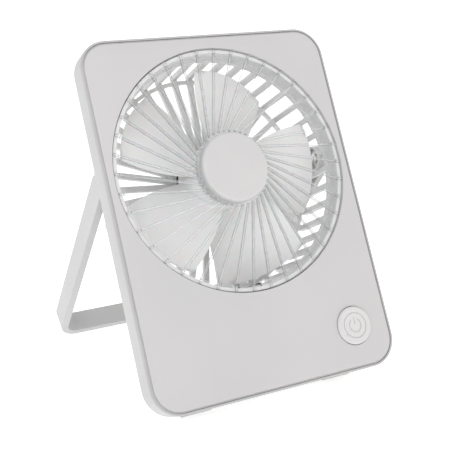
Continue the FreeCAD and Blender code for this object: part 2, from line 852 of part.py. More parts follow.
def turned(thing, rotation):
    """A copy-free turn about the fan's axis, in a compound of its own."""
    holder = doc.addObject("Part::Compound", thing.Name + "_turned")
    holder.Links = [thing]
    doc.recompute()
    holder.Placement = FreeCAD.Placement(FreeCAD.Vector(), rotation)
    return holder


def make_motor_mount():
    flange = cylinder("base_flange", "base_radius", "base_thickness", z="-(basket_depth - basket_back)")
    post = cylinder("base_post", TUBE_OUTER, "basket_depth - basket_back - bush_front",
                    z="-(basket_depth - basket_back)")
    bore = cylinder("base_bore", "bush_radius", "basket_depth - basket_back - bush_front - base_thickness / 2",
                    z="-(basket_depth - basket_back - base_thickness / 2)")
    solid = cut("base_bored", fuse("base_solid", [flange, post]), bore)
    holes = [cylinder("base_hole_%d" % i, "small_screw_radius", "base_thickness", x, y,
                      "-(basket_depth - basket_back)") for i, (x, y) in enumerate(motor_screw_places())]
    finished(cut("motor_mount", solid, fuse("base_holes", holes)), "motor_mount")
    bush = tube("shaft_bush", "bush_radius", "shaft_radius + running_gap", "bush_back", "bush_front")
    finished(bush, "shaft_bush")
    board = tube("motor_board", "motor_board_radius", TUBE_OUTER + " + fit_gap / 2",
                 "motor_board_front + motor_board_thickness", "motor_board_front")
    finished(board, "motor_board")


def motor_screw_places():
    places = []
    for number in range(int(size("motor_screw_count"))):
        angle = "%d * 360 / motor_screw_count + 30" % number
        places.append(("motor_screw_circle * cos(%s)" % angle, "motor_screw_circle * sin(%s)" % angle))
    return places


# ---------------------------------------------------------------- rear grille

def make_rear_grille():
    """A round basket of radial ribs that carries the motor, the front grille's collar and the stand."""
    body = new_body("rear_grille")
    profile = new_sketch(body, "profile", "0", "XZ_Plane")
    inner_wall = "basket_radius - basket_side"
    collar_outer = "collar_radius + collar_wall"
    draw_polygon(profile, [
        ("0", "-basket_depth"),
        ("basket_radius", "-basket_depth"),
        ("basket_radius", "-(%s)" % BACK_WALL),
        ("flange_radius", "-(%s)" % BACK_WALL),
        ("flange_radius", "-flange_front"),
        (collar_outer, "-flange_front"),
        (collar_outer, "-grille_flange"),
        ("collar_radius", "-grille_flange"),
        ("collar_radius", "-flange_front"),
        (inner_wall, "-flange_front"),
        (inner_wall, "-basket_depth + basket_back"),
        ("0", "-basket_depth + basket_back"),
    ])
    skin = revolve(profile)
    round_edges(skin, basket_edge, "basket_round", "edge")
    slot = new_sketch(body, "slot", "-slot_start")
    half = "180 / spoke_count"
    near = "basket_hub"
    far = "basket_radius + 2"
    near_half = "(%s * tan(%s) - rib_width / 2)" % (near, half)
    far_half = "((%s) * tan(%s) - rib_width / 2)" % (far, half)
    draw_polygon(slot, [(near, "-" + near_half), (far, "-" + far_half), (far, far_half), (near, near_half)])
    repeat_around(pocket(slot, "basket_depth"), "spoke_count")
    ring = new_sketch(body, "tie_ring", "-basket_depth + 0.4")
    draw_circle(ring, "0", "0", "tie_ring_outer")
    draw_circle(ring, "0", "0", "tie_ring_outer - tie_ring_width")
    pad(ring, "basket_back - 0.4")
    motor = new_sketch(body, "motor_holes", "-basket_depth")
    draw_circles(motor, motor_screw_places(), "small_screw_radius + screw_hole_gap")
    pocket(motor, "basket_back", forward=True)
    add_grille_lugs(body)
    add_hinge_cheeks(body)
    lead_way = new_sketch(body, "lead_notch", "basket_radius - basket_side - 1", "XZ_Plane")
    draw_circle(lead_way, LEAD_X, "-lead_exit", "lead_radius + fit_gap")
    pocket(lead_way, "flange_radius - basket_radius + basket_side + 2", forward=True)


def add_grille_lugs(body):
    """Four lugs on the flange, each with a post that a screw through the back wall bites into."""
    lugs = new_sketch(body, "lugs", "-(%s)" % BACK_WALL)
    draw_circles(lugs, lug_places(), "lug_radius")
    pad(lugs, "%s - flange_front" % BACK_WALL)
    posts = new_sketch(body, "lug_posts", "-flange_front")
    draw_circles(posts, lug_places(), "lug_post_radius")
    pad(posts, "flange_front - lug_post_front")
    pilots = new_sketch(body, "lug_pilots", "-(%s)" % BACK_WALL)
    draw_circles(pilots, lug_places(), "small_screw_radius")
    pocket(pilots, "%s - lug_post_front - 1" % BACK_WALL, forward=True)


def add_hinge_cheeks(body):
    """A round cheek on each side of the basket, bored for the stand and recessed for its retainer."""
    start = "basket_radius - basket_side - cheek_inward"
    cheek = new_sketch(body, "cheek", start, "YZ_Plane")
    draw_circle(cheek, "pivot_height", "-pivot_depth", "cheek_radius")
    mirror_across(pad(cheek, "%s - (%s)" % (FLANK, start)))
    bore = new_sketch(body, "hinge_bore", "0", "YZ_Plane")
    draw_circle(bore, "pivot_height", "-pivot_depth", "stub_radius + hinge_gap")
    pocket(bore, "body_width", middle=True)
    recess = new_sketch(body, "hinge_recess", "0", "YZ_Plane")
    draw_circle(recess, "pivot_height", "-pivot_depth", "recess_radius")
    pocket(recess, "2 * (%s - stub_bearing)" % FLANK, middle=True)


def basket_edge(edge):
    """The outer corner of the basket's back."""
    box = edge.BoundBox
    at_back = abs(box.ZMin + size("basket_depth")) < 1e-4 and abs(box.ZMax + size("basket_depth")) < 1e-4
    return at_back and box.XMax > size("basket_radius") - 1e-3


# ---------------------------------------------------------------- stand

LEG_INNER = FLANK + " + friction_washer_thickness + 2 * hinge_gap"
LEG_OUTER = LEG_INNER + " + leg_thickness"
STUB_END = FLANK + " - stub_bearing - stub_end_gap"


def make_stand():
    """The U-shaped stand, about its pivot, with its legs hanging down."""
    body = new_body("u_stand", stand=True)
    shape = new_sketch(body, "shape", "0")
    top = "leg_width / 2"
    foot = "-" + LEG_LENGTH
    draw_polygon(shape, [
        ("-(%s)" % LEG_OUTER, top),
        ("-(%s)" % LEG_OUTER, foot),
        (LEG_OUTER, foot),
        (LEG_OUTER, top),
        (LEG_INNER, top),
        (LEG_INNER, foot + " + leg_thickness"),
        ("-(%s)" % LEG_INNER, foot + " + leg_thickness"),
        ("-(%s)" % LEG_INNER, top),
    ])
    blank = pad(shape, "leg_width", middle=True)
    outer = round_edges(blank, upright_edge_at(LEG_OUTER, foot), "stand_corner", "outer_corner")
    inner_corner = upright_edge_at(LEG_INNER, foot + " + leg_thickness")
    inner = round_edges(outer, inner_corner, "stand_inner_corner", "inner_corner")
    round_edges(inner, leg_end_edge, "leg_width / 2 - 0.05", "leg_end")
    stub = new_sketch(body, "stub", STUB_END, "YZ_Plane")
    draw_circle(stub, "0", "0", "stub_radius")
    mirror_across(pad(stub, "%s - (%s)" % (LEG_INNER, STUB_END)))
    pilot = new_sketch(body, "pilot", STUB_END, "YZ_Plane")
    draw_circle(pilot, "0", "0", "pivot_screw_radius")
    mirror_across(pocket(pilot, "pivot_screw_length", forward=True))


def upright_edge_at(x, y):
    """Tests for an edge along the stand's depth at a corner of the U."""
    across, level = size(x), size(y)

    def chosen(edge):
        box = edge.BoundBox
        flat = box.XLength < 1e-4 and box.YLength < 1e-4
        return flat and abs(abs(box.XMin) - across) < 1e-3 and abs(box.YMin - level) < 1e-3

    return chosen


def leg_end_edge(edge):
    box = edge.BoundBox
    return box.YLength < 1e-4 and box.ZLength < 1e-4 and abs(box.YMin - size("leg_width / 2")) < 1e-3


def both_sides(name, outer, inner, start, length):
    """The same ring on the pivot of each leg; inner may be None for a plain disc."""
    rings = []
    for side, place in (("left", "-(%s) - (%s)" % (start, length)), ("right", start)):
        disc = cylinder("%s_%s_disc" % (name, side), outer, length, x=place, along="x")
        if inner is None:
            rings.append(disc)
        else:
            hole = cylinder("%s_%s_hole" % (name, side), inner, length, x=place, along="x")
            rings.append(cut("%s_%s" % (name, side), disc, hole))
    return rings


def make_hinge_hardware():
    retainer_start = STUB_END + " - retainer_thickness"
    retainers = both_sides("retainer", "retainer_radius", "pivot_screw_radius + fit_gap",
                           retainer_start, "retainer_thickness")
    group("retaining_washers", retainers, stand=True)
    heads = both_sides("pivot_head", "pivot_head_radius", None,
                       retainer_start + " - pivot_head_height", "pivot_head_height")
    shanks = both_sides("pivot_shank", "pivot_screw_radius", None, retainer_start,
                        "retainer_thickness + pivot_screw_length - 0.3")
    screws = [fuse("pivot_screw_%d" % i, list(pair)) for i, pair in enumerate(zip(heads, shanks))]
    group("pivot_screws", screws, stand=True)
    washers = both_sides("friction", "friction_washer_radius", "stub_radius + hinge_gap",
                         FLANK + " + hinge_gap", "friction_washer_thickness")
    group("friction_washers", washers, stand=True)


# ---------------------------------------------------------------- power button

def make_power_button():
    body = new_body("power_button")
    low = "-(cover_thickness + hinge_gap + button_flange_thickness)"
    cap = new_sketch(body, "cap", low)
    draw_circle(cap, BUTTON_X, BUTTON_Y, "button_radius")
    solid = pad(cap, "button_height - (%s)" % low)
    round_edges(solid, edges_at_height("button_height"), "button_round", "edge")
    flange = new_sketch(body, "flange", low)
    draw_circle(flange, BUTTON_X, BUTTON_Y, "button_radius + button_flange")
    pad(flange, "button_flange_thickness")
    inside = new_sketch(body, "inside", low)
    draw_circle(inside, BUTTON_X, BUTTON_Y, "pad_radius - pad_wall")
    pocket(inside, "button_flange_thickness + cover_thickness - 0.4", forward=True)
    post = new_sketch(body, "post", "-(board_front - switch_height - plunger_height)")
    draw_circle(post, BUTTON_X, BUTTON_Y, "button_post")
    pad(post, "board_front - switch_height - plunger_height + button_height / 2")
    add_button_engraving(body)


def add_button_engraving(body):
    """A shallow ring, and inside it an open circle with a bar standing in its gap."""
    groove = new_sketch(body, "groove", "button_height")
    draw_circle(groove, BUTTON_X, BUTTON_Y, "button_groove_radius")
    draw_circle(groove, BUTTON_X, BUTTON_Y, "button_groove_radius - button_groove_width")
    pocket(groove, "button_groove_depth")
    symbol = new_sketch(body, "symbol", "button_height")
    draw_circle(symbol, BUTTON_X, BUTTON_Y, "symbol_radius")
    draw_circle(symbol, BUTTON_X, BUTTON_Y, "symbol_radius - symbol_line")
    pocket(symbol, "button_groove_depth")
    gap = new_sketch(body, "symbol_gap", "button_height - button_groove_depth")
    draw_upright_bar(gap, "symbol_gap / 2", "symbol_radius / 2", "symbol_radius + 0.1")
    pad(gap, "button_groove_depth")
    bar = new_sketch(body, "bar", "button_height")
    draw_upright_bar(bar, "symbol_line / 2", "symbol_line", "symbol_radius + symbol_line")
    pocket(bar, "button_groove_depth")


def draw_upright_bar(sketch, half_width, low, high):
    """A rectangle above the button's middle, between two heights over it."""
    left = BUTTON_X + " - " + half_width
    right = BUTTON_X + " + " + half_width
    bottom = BUTTON_Y + " + " + low
    top = BUTTON_Y + " + " + high
    draw_polygon(sketch, [(left, bottom), (right, bottom), (right, top), (left, top)])


def make_switch():
    side = "switch_side"
    corner = (BUTTON_X + " - switch_side / 2", BUTTON_Y + " - switch_side / 2", "-board_front")
    case = block("switch_case", corner, (side, side, "switch_height"))
    well = cylinder("switch_well", "plunger_radius + running_gap", "switch_height / 2",
                    BUTTON_X, BUTTON_Y, "-board_front + switch_height / 2")
    finished(cut("tact_switch", case, well), "tact_switch")
    plunger = cylinder("plunger_pin", "plunger_radius", "plunger_height + switch_height / 4",
                       BUTTON_X, BUTTON_Y, "-board_front + 3 * switch_height / 4")
    group("switch_plunger", [plunger])
    height = "board_front - cover_thickness - 2 * hinge_gap - button_flange_thickness - button_travel"
    outer = cylinder("pad_outer", "pad_radius", height, BUTTON_X, BUTTON_Y, "-board_front")
    inner = cylinder("pad_inner", "pad_radius - pad_wall", height, BUTTON_X, BUTTON_Y, "-board_front")
    finished(cut("button_cushion", outer, inner), "button_cushion")


# ---------------------------------------------------------------- electronics

def make_main_board():
    body = new_body("main_board")
    outline_sketch = new_sketch(body, "outline", "-(board_front + board_thickness)")
    draw_rounded_rectangle(outline_sketch, BOARD_LEFT, BOARD_RIGHT, BOARD_BOTTOM, BOARD_TOP,
                           "board_corner")
    pad(outline_sketch, "board_thickness")
    holes = new_sketch(body, "holes", "-board_front")
    for x, y in BOARD_SCREWS:
        draw_circle(holes, x, y, "small_screw_radius + screw_hole_gap")
    pocket(holes, "board_thickness")


def make_usb_socket():
    body = new_body("usb_socket")
    start = "body_width / 2 - port_setback - port_length"
    shell = new_sketch(body, "shell", start, "YZ_Plane")
    sides = (PORT_Y + " - port_width / 2", PORT_Y + " + port_width / 2",
             "-port_front - port_height", "-port_front", "port_height / 2 - 0.05")
    draw_rounded_rectangle(shell, *sides)
    pad(shell, "port_length")
    mouth = new_sketch(body, "mouth", start + " + port_length", "YZ_Plane")
    draw_rounded_rectangle(mouth, sides[0] + " + port_wall", sides[1] + " - port_wall",
                           sides[2] + " + port_wall", sides[3] + " - port_wall",
                           "port_height / 2 - port_wall - 0.05")
    pocket(mouth, "port_length - 1")
    low = (start + " + 1", PORT_Y + " - port_width / 2 + 1.2",
           "-port_front - port_height / 2 - tongue_thickness / 2")
    tongue = block("tongue_blade", low, ("port_length - 2.5", "port_width - 2.4", "tongue_thickness"))
    group("usb_tongue", [tongue])


PLUG_X = BOARD_LEFT + " + 5"


def make_board_components():
    """Charge controller, motor driver, inductor and connectors on the main board."""
    front = "-board_front"
    back = "-(board_front + board_thickness)"
    chips = [
        block("charge_chip", (BOARD_RIGHT + " - 15.5", BOARD_TOP + " - 10.5", front), ("5", "4.4", "1.5")),
        block("driver_chip", (BOARD_LEFT + " + 10.5", BOARD_TOP + " - 9.5", front), ("4.9", "3.9", "1.5")),
        block("power_inductor", (BOARD_LEFT + " + 18.5", BOARD_TOP + " - 9.5", front), ("6", "6", "2.8")),
    ]
    group("board_chips", chips)
    plugs = [
        block("motor_plug", (PLUG_X, BOARD_TOP + " - 17.5", back + " - 4"), ("6", "4", "4")),
        block("battery_plug", (PLUG_X, BOARD_TOP + " - 24", back + " - 4"), ("6", "4", "4")),
    ]
    group("lead_plugs", plugs)


def lead(label, points, bends):
    """An insulated lead: straight runs joined by tangent arcs of the given radii."""
    corners = [FreeCAD.Vector(*[size(text) for text in point]) for point in points]
    edges = []
    start = corners[0]
    for before, corner, after, bend in zip(corners, corners[1:], corners[2:], bends):
        inward = (before - corner).normalize()
        outward = (after - corner).normalize()
        half_turn = (math.pi - inward.getAngle(outward)) / 2
        first = corner + inward * (bend * math.tan(half_turn))
        last = corner + outward * (bend * math.tan(half_turn))
        middle = corner + (inward + outward).normalize() * (bend / math.cos(half_turn) - bend)
        edges.append(Part.LineSegment(start, first).toShape())
        edges.append(Part.Arc(first, middle, last).toShape())
        start = last
    edges.append(Part.LineSegment(start, corners[-1]).toShape())
    ring = Part.Circle(corners[0], corners[1] - corners[0], size("lead_radius")).toShape()
    thing = doc.addObject("Part::Feature", label)
    thing.Shape = Part.Wire(edges).makePipeShell([Part.Wire([ring])], True, False)
    return thing


def make_leads():
    """The motor's lead runs along one rib, forward in the basket and out past its flange to the board."""
    board_level = "-(motor_board_front + motor_board_thickness / 2)"
    rib_level = "-(basket_depth - basket_back - lead_radius - 0.2)"

    def along_rib(radius, depth):
        return "(%s) * cos(lead_angle)" % radius, "-(%s) * sin(lead_angle)" % radius, depth

    motor = lead("motor_strand", [
        along_rib("motor_board_radius", board_level),
        along_rib("motor_board_radius + 5.5", board_level),
        along_rib("motor_board_radius + 11", rib_level),
        along_rib("lead_circle", rib_level),
        along_rib("lead_circle", "-lead_exit"),
        (LEAD_X, "-bay_top - 3", "-lead_exit"),
        ("12", "-bay_top - 3", "-11.3"),
        (PLUG_X + " + 3", "-bay_top - 3", "-11.3"),
        (PLUG_X + " + 3", BOARD_TOP + " - 13.5", "-11.5"),
    ], (4, 4, 3, 0.8, 1.4, 4, 4))
    group("motor_lead", [motor])
    strands = []
    for number, below in enumerate(("21.1", "22.9")):
        level = "%s - %s" % (BOARD_TOP, below)
        places = [(CELL_RIGHT + " + tab_thickness", level, "-12.2"), (PLUG_X, level, "-12.2")]
        strands.append(lead("battery_strand_%d" % number, places, ()))
    group("battery_leads", strands)


def make_battery():
    cells = []
    tabs = []
    for name, y in (("lower", CELL_Y), ("upper", CELL_Y + " + " + CELL_SPACING)):
        can = cylinder("cell_" + name, "cell_radius", "cell_length", CELL_LEFT, y, "-cell_depth", along="x")
        cells.append(can)
    for name, x in (("left", CELL_LEFT + " - tab_thickness"), ("right", CELL_RIGHT)):
        low = (x, CELL_Y + " - 4", "-cell_depth - 3")
        tabs.append(block("tab_" + name, low, ("tab_thickness", CELL_SPACING + " + 8", "6")))
    group("battery_cells", cells)
    group("battery_tabs", tabs)
    make_battery_tray()


def make_battery_tray():
    """An open tray on the floor of the shell that the two cells lie in."""
    body = new_body("battery_tray")
    left = CELL_LEFT + " - tab_thickness - tray_gap"
    right = CELL_RIGHT + " + tab_thickness + tray_gap"
    bottom = CELL_Y + " - cell_radius - tray_gap"
    top = "%s + %s + cell_radius + tray_gap" % (CELL_Y, CELL_SPACING)
    outer = new_sketch(body, "outer", "-(%s)" % BAY_FLOOR)
    draw_rounded_rectangle(outer, left + " - tray_wall", right + " + tray_wall",
                           bottom + " - tray_wall", top + " + tray_wall", "1.5")
    pad(outer, "tray_height")
    inner = new_sketch(body, "inner", "-(bay_depth - shell_wall - tray_height)")
    draw_rounded_rectangle(inner, left, right, bottom, top, "0.5")
    pocket(inner, "tray_height - (bay_depth - shell_wall - cell_depth - cell_radius)")
    ears = new_sketch(body, "ears", "-(bay_depth - shell_wall - tray_height + 2 * tray_wall)")
    for x, y in TRAY_SCREWS:
        draw_circle(ears, x, y, "small_head_radius + 0.9")
    pad(ears, "tray_wall")
    holes = new_sketch(body, "ear_holes", "-(bay_depth - shell_wall - tray_height + tray_wall)")
    for x, y in TRAY_SCREWS:
        draw_circle(holes, x, y, "small_screw_radius + screw_hole_gap")
    pocket(holes, "tray_wall")


# ---------------------------------------------------------------- fasteners

def screws(label, places, head_at, shank_length, small=False, head_behind=True):
    """Pan-head screws along the fan's axis; the head's seat is at the depth head_at."""
    radius, head_radius, head_height = (
        ("small_screw_radius", "small_head_radius", "small_head_height") if small
        else ("screw_radius", "screw_head_radius", "screw_head_height"))
    things = []
    for number, (x, y) in enumerate(places):
        name = "%s_%d" % (label, number)
        if head_behind:
            head_z, shank_z = "-(%s) - %s" % (head_at, head_height), "-(%s)" % head_at
        else:
            head_z, shank_z = "-(%s)" % head_at, "-(%s) - (%s)" % (head_at, shank_length)
        head = cylinder(name + "_head", head_radius, head_height, x, y, head_z)
        shank = cylinder(name + "_shank", radius, shank_length, x, y, shank_z)
        things.append(fuse(name, [head, shank]))
    group(label, things)


def make_screws():
    cover_screw_length = "boss_seat_depth - cover_thickness - pilot_floor - screw_tip_gap"
    screws("cover_screws", COVER_SCREWS, "boss_seat_depth", cover_screw_length)
    screws("grille_screws", lug_places(), "rim_depth - small_head_height", "grille_screw_length", small=True)
    screws("motor_screws", motor_screw_places(), "basket_depth", "motor_screw_length", small=True)
    screws("board_screws", BOARD_SCREWS, "board_front", "board_screw_length", small=True, head_behind=False)
    screws("tray_screws", TRAY_SCREWS, "bay_depth - shell_wall - tray_height + tray_wall",
           "board_screw_length - 1", small=True, head_behind=False)


# ---------------------------------------------------------------- assembly

def stand_angle():
    """How far the stand is opened, in degrees, so that its foot and the rubber feet share one level."""
    lean = math.radians(size("lean_angle"))
    sole_y = size("axis_below_top - body_height + bay_bottom_inset - foot_height")
    rise = (size("pivot_height") - sole_y) * math.cos(lean)
    rise += (size("foot_back") - size("pivot_depth")) * math.sin(lean)
    length = size(LEG_LENGTH)
    half = size("leg_width") / 2
    from_vertical = math.atan2(half, length) + math.acos(rise / math.hypot(length, half))
    return size("lean_angle") + math.degrees(from_vertical)


def place_parts():
    """Leans the case back, opens the stand, and stands the whole on z = 0 about its middle."""
    x_axis = FreeCAD.Vector(1, 0, 0)
    lean = FreeCAD.Rotation(x_axis, 90 - size("lean_angle"))
    pivot = FreeCAD.Vector(0, size("pivot_height"), -size("pivot_depth"))
    opened = FreeCAD.Placement(pivot, FreeCAD.Rotation(x_axis, stand_angle()))
    home = {thing.Name: thing.Placement for thing in PARTS + STAND_PARTS}

    def put(shift):
        case = FreeCAD.Placement(shift, lean)
        for thing in PARTS:
            thing.Placement = case.multiply(home[thing.Name])
        for thing in STAND_PARTS:
            thing.Placement = case.multiply(opened).multiply(home[thing.Name])
        doc.recompute()
        return case

    put(FreeCAD.Vector())
    box = FreeCAD.BoundBox()
    for thing in PARTS + STAND_PARTS:
        box.add(thing.Shape.optimalBoundingBox(False))
    case = put(FreeCAD.Vector(-box.Center.x, -box.Center.y, -box.ZMin))
    hinge = case.multVec(pivot)
    print("fan axis at", case.multVec(FreeCAD.Vector()), "along", lean.multVec(FreeCAD.Vector(0, 0, 1)))
    print("stand pivot at", hinge, "opened by", round(stand_angle(), 3))
    print("whole", box.XLength, box.YLength, box.ZLength)


def check_parts():
    for thing in doc.Objects:
        if "Invalid" in thing.State or "Error" in thing.State:
            raise RuntimeError(thing.Name + " did not build")
    for thing in PARTS + STAND_PARTS:
        shape = thing.Shape
        if shape.isNull() or not shape.isValid() or not shape.Solids:
            raise RuntimeError(thing.Label + " is not a valid solid")


def write_parts():
    os.makedirs("parts", exist_ok=True)
    for thing in PARTS + STAND_PARTS:
        thing.Shape.exportStep("parts/%s.step" % thing.Label)
        print(thing.Label, len(thing.Shape.Solids), round(thing.Shape.Volume, 1))


make_front_cover()
make_rear_shell()
make_base_feet()
make_front_grille()
make_grille_cap()
make_impeller()
make_rotor()
make_stator()
make_motor_mount()
make_rear_grille()
make_stand()
make_hinge_hardware()
make_power_button()
make_switch()
make_main_board()
make_usb_socket()
make_board_components()
make_leads()
make_battery()
make_screws()
place_parts()
check_parts()
write_parts()
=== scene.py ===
import json
import math

import bmesh
import bpy
from mathutils import Matrix, Vector


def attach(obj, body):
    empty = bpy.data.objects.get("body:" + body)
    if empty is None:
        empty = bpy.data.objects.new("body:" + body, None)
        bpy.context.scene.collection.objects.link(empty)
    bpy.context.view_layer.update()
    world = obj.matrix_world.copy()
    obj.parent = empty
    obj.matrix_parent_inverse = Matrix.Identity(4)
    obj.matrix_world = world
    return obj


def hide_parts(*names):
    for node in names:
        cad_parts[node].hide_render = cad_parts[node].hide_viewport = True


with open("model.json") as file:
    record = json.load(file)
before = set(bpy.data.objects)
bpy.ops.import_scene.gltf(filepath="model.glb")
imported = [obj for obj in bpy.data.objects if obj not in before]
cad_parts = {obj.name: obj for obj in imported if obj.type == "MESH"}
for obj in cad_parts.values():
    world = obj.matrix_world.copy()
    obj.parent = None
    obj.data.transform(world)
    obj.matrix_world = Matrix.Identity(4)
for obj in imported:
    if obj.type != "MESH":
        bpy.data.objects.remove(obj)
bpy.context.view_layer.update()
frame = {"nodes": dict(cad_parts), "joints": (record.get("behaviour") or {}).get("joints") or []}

scene = bpy.context.scene


# ------------------------------------------------------------------ viewpoint, table and light
# The fan stands on a plain pale table. A large soft box lights it from high on the left, with a
# weaker warm fill from the right, and everything round it is white.

def linear(hex_colour):
    """An sRGB hex colour as linear red, green, blue and alpha."""
    channels = [int(hex_colour[i:i + 2], 16) / 255 for i in (1, 3, 5)]
    return [c / 12.92 if c <= 0.04045 else ((c + 0.055) / 1.055) ** 2.4 for c in channels] + [1.0]


def add_node(tree, kind, settings=None, inputs=None):
    """Adds a node. inputs maps a socket's name or number to a value or to another node's socket."""
    made = tree.nodes.new(kind)
    for key, value in (settings or {}).items():
        setattr(made, key, value)
    for key, value in (inputs or {}).items():
        if isinstance(value, bpy.types.NodeSocket):
            tree.links.new(value, made.inputs[key])
        else:
            made.inputs[key].default_value = value
    return made


spin = next(joint for joint in frame["joints"] if joint["name"] == "impeller_spin")
outward = Vector(spin["axis"])
sideways = Vector((1, 0, 0))
upward = outward.cross(sideways)
hub_depth = 0.019
axis_start = Vector(spin["pos_m"]) + outward * hub_depth

# The case's own frame: x right, y up the front, z out of it, from the fan's axis on the cover's face.
case_frame = Matrix((sideways, upward, outward)).transposed().to_4x4()
case_frame.translation = axis_start


def in_case(x, y, z):
    """A point given in millimetres in the case's frame."""
    return case_frame @ (Vector((x, y, z)) / 1000)


sensor_width_mm = 36
focal_length_mm = 73.7
camera_place = in_case(-208.6, -84.6, 396.7)
right_of_view = Vector((0.8857, -0.2233, 0.4069))
top_of_view = Vector((0.1465, 0.9664, 0.2113))
nearest_seen = 0.01
farthest_seen = 200

camera_data = bpy.data.cameras.new("camera")
camera = bpy.data.objects.new("camera", camera_data)
scene.collection.objects.link(camera)
scene.camera = camera
camera_data.sensor_width = sensor_width_mm
camera_data.lens = focal_length_mm
camera_data.clip_start = nearest_seen
camera_data.clip_end = farthest_seen
camera.location = camera_place
view_right = case_frame.to_3x3() @ right_of_view.normalized()
view_up = case_frame.to_3x3() @ top_of_view.normalized()
view_back = view_right.cross(view_up).normalized()
view_up = view_back.cross(view_right)
camera.rotation_mode = "QUATERNION"
camera.rotation_quaternion = Matrix((view_right, view_up, view_back)).transposed().to_quaternion()

scene.view_settings.view_transform = "Standard"
scene.view_settings.look = "None"

# The room is white behind the fan and a little dimmer on the viewer's side.
room_front = "#DCDBDA"
room_behind = "#FFFFFF"
world = bpy.data.worlds.new("studio")
scene.world = world
world.use_nodes = True
world_tree = world.node_tree
world_tree.nodes.clear()
direction = add_node(world_tree, "ShaderNodeTexCoord")
split = add_node(world_tree, "ShaderNodeSeparateXYZ", None, {0: direction.outputs["Generated"]})
depth = add_node(world_tree, "ShaderNodeMapRange", None,
                 {"Value": split.outputs["Y"], "From Min": -1, "From Max": 1, "To Min": 0, "To Max": 1})
shade = add_node(world_tree, "ShaderNodeMixRGB", None, {
    "Fac": depth.outputs["Result"], "Color1": linear(room_front), "Color2": linear(room_behind)})
glow = add_node(world_tree, "ShaderNodeBackground", None, {"Color": shade.outputs["Color"], "Strength": 1.0})
add_node(world_tree, "ShaderNodeOutputWorld", None, {"Surface": glow.outputs["Background"]})


def soft_box(name, place, aim, width, height, power, hex_colour):
    """A rectangular lamp at a place, in metres, turned towards a point. power is in watts."""
    data = bpy.data.lights.new(name, "AREA")
    data.shape = "RECTANGLE"
    data.size = width
    data.size_y = height
    data.energy = power
    data.color = linear(hex_colour)[:3]
    lamp = bpy.data.objects.new(name, data)
    scene.collection.objects.link(lamp)
    lamp.location = place
    lamp.rotation_mode = "QUATERNION"
    lamp.rotation_quaternion = (Vector(aim) - Vector(place)).to_track_quat("-Z", "Y")


fan_middle = (0, 0, 0.09)
soft_box("soft_box_left", place=(-0.45, -0.75, 0.85), aim=fan_middle, width=0.7, height=0.6,
         power=2.5, hex_colour="#F8FAFF")
soft_box("soft_box_right", place=(0.8, -0.8, 0.35), aim=fan_middle, width=0.6, height=0.5,
         power=0.35, hex_colour="#FFF3E8")

# Matt white paint, lit a little from within so that the table stays as pale as the room.
table_reach = 60
table_corners = [(x * table_reach, y * table_reach, 0) for x, y in ((-1, -1), (1, -1), (1, 1), (-1, 1))]
table_material = bpy.data.materials.new("painted_table")
table_material.use_nodes = True
table_shader = table_material.node_tree.nodes["Principled BSDF"]
table_shader.inputs["Base Color"].default_value = linear("#F4F4F3")
table_shader.inputs["Roughness"].default_value = 0.85
table_shader.inputs["Emission Color"].default_value = linear("#FFFFFF")
table_shader.inputs["Emission Strength"].default_value = 0.55
table_mesh = bpy.data.meshes.new("table_top")
table_mesh.from_pydata(table_corners, [], [(0, 1, 2, 3)])
table_mesh.materials.append(table_material)
table_top = bpy.data.objects.new("table_top", table_mesh)
scene.collection.objects.link(table_top)


# ------------------------------------------------------------------ rear shell
# The back half of the case, an injection moulding in white ABS: a shallow tray with a rim round the
# cover, and a deeper bay at its lower end. The tool was lightly blasted, so it is satin with a fine grain.

def surface(name, dark, light, patch_mm, grain_mm, rough, bump_mm, sockets=None):
    """A moulded or metal surface: colour drifts over patches, and grain gives the gloss its texture.
    rough is the lowest and highest roughness; bump_mm is the depth of the grain."""
    material = bpy.data.materials.new(name)
    material.use_nodes = True
    tree = material.node_tree
    shader = tree.nodes["Principled BSDF"]
    noise_low, noise_high = 0.3, 0.7
    place = add_node(tree, "ShaderNodeTexCoord").outputs["Object"]
    patches = add_node(tree, "ShaderNodeTexNoise", None,
                       {"Vector": place, "Scale": 1000 / patch_mm, "Detail": 3.0, "Roughness": 0.5})
    grain = add_node(tree, "ShaderNodeTexNoise", None,
                     {"Vector": place, "Scale": 1000 / grain_mm, "Detail": 2.0, "Roughness": 0.6})
    colour = add_node(tree, "ShaderNodeValToRGB", None, {"Fac": patches.outputs["Fac"]})
    for stop, position, hex_colour in zip(colour.color_ramp.elements, (noise_low, noise_high), (dark, light)):
        stop.position = position
        stop.color = linear(hex_colour)
    tree.links.new(colour.outputs["Color"], shader.inputs["Base Color"])
    gloss = add_node(tree, "ShaderNodeMapRange", None, {
        "Value": grain.outputs["Fac"], "From Min": noise_low, "From Max": noise_high,
        "To Min": rough[0], "To Max": rough[1]})
    tree.links.new(gloss.outputs["Result"], shader.inputs["Roughness"])
    bump = add_node(tree, "ShaderNodeBump", None,
                    {"Height": grain.outputs["Fac"], "Distance": bump_mm / 1000, "Strength": 1.0})
    tree.links.new(bump.outputs["Normal"], shader.inputs["Normal"])
    for key, value in (sockets or {}).items():
        shader.inputs[key].default_value = value
    return material


def finish_piece(name, mesh, body, node, sharp_angle=30):
    """Makes a finished piece of a mesh already in place, in the stead of its CAD node."""
    piece = bpy.data.objects.new(name, mesh)
    scene.collection.objects.link(piece)
    mesh.shade_smooth()
    mesh.set_sharp_from_angle(angle=math.radians(sharp_angle))
    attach(piece, body)
    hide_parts(node)
    return piece


# Points closer than this, in metres, are one point, and faces that meet at less than this angle are one.
merge_distance = 2e-6
flat_angle = math.radians(0.4)


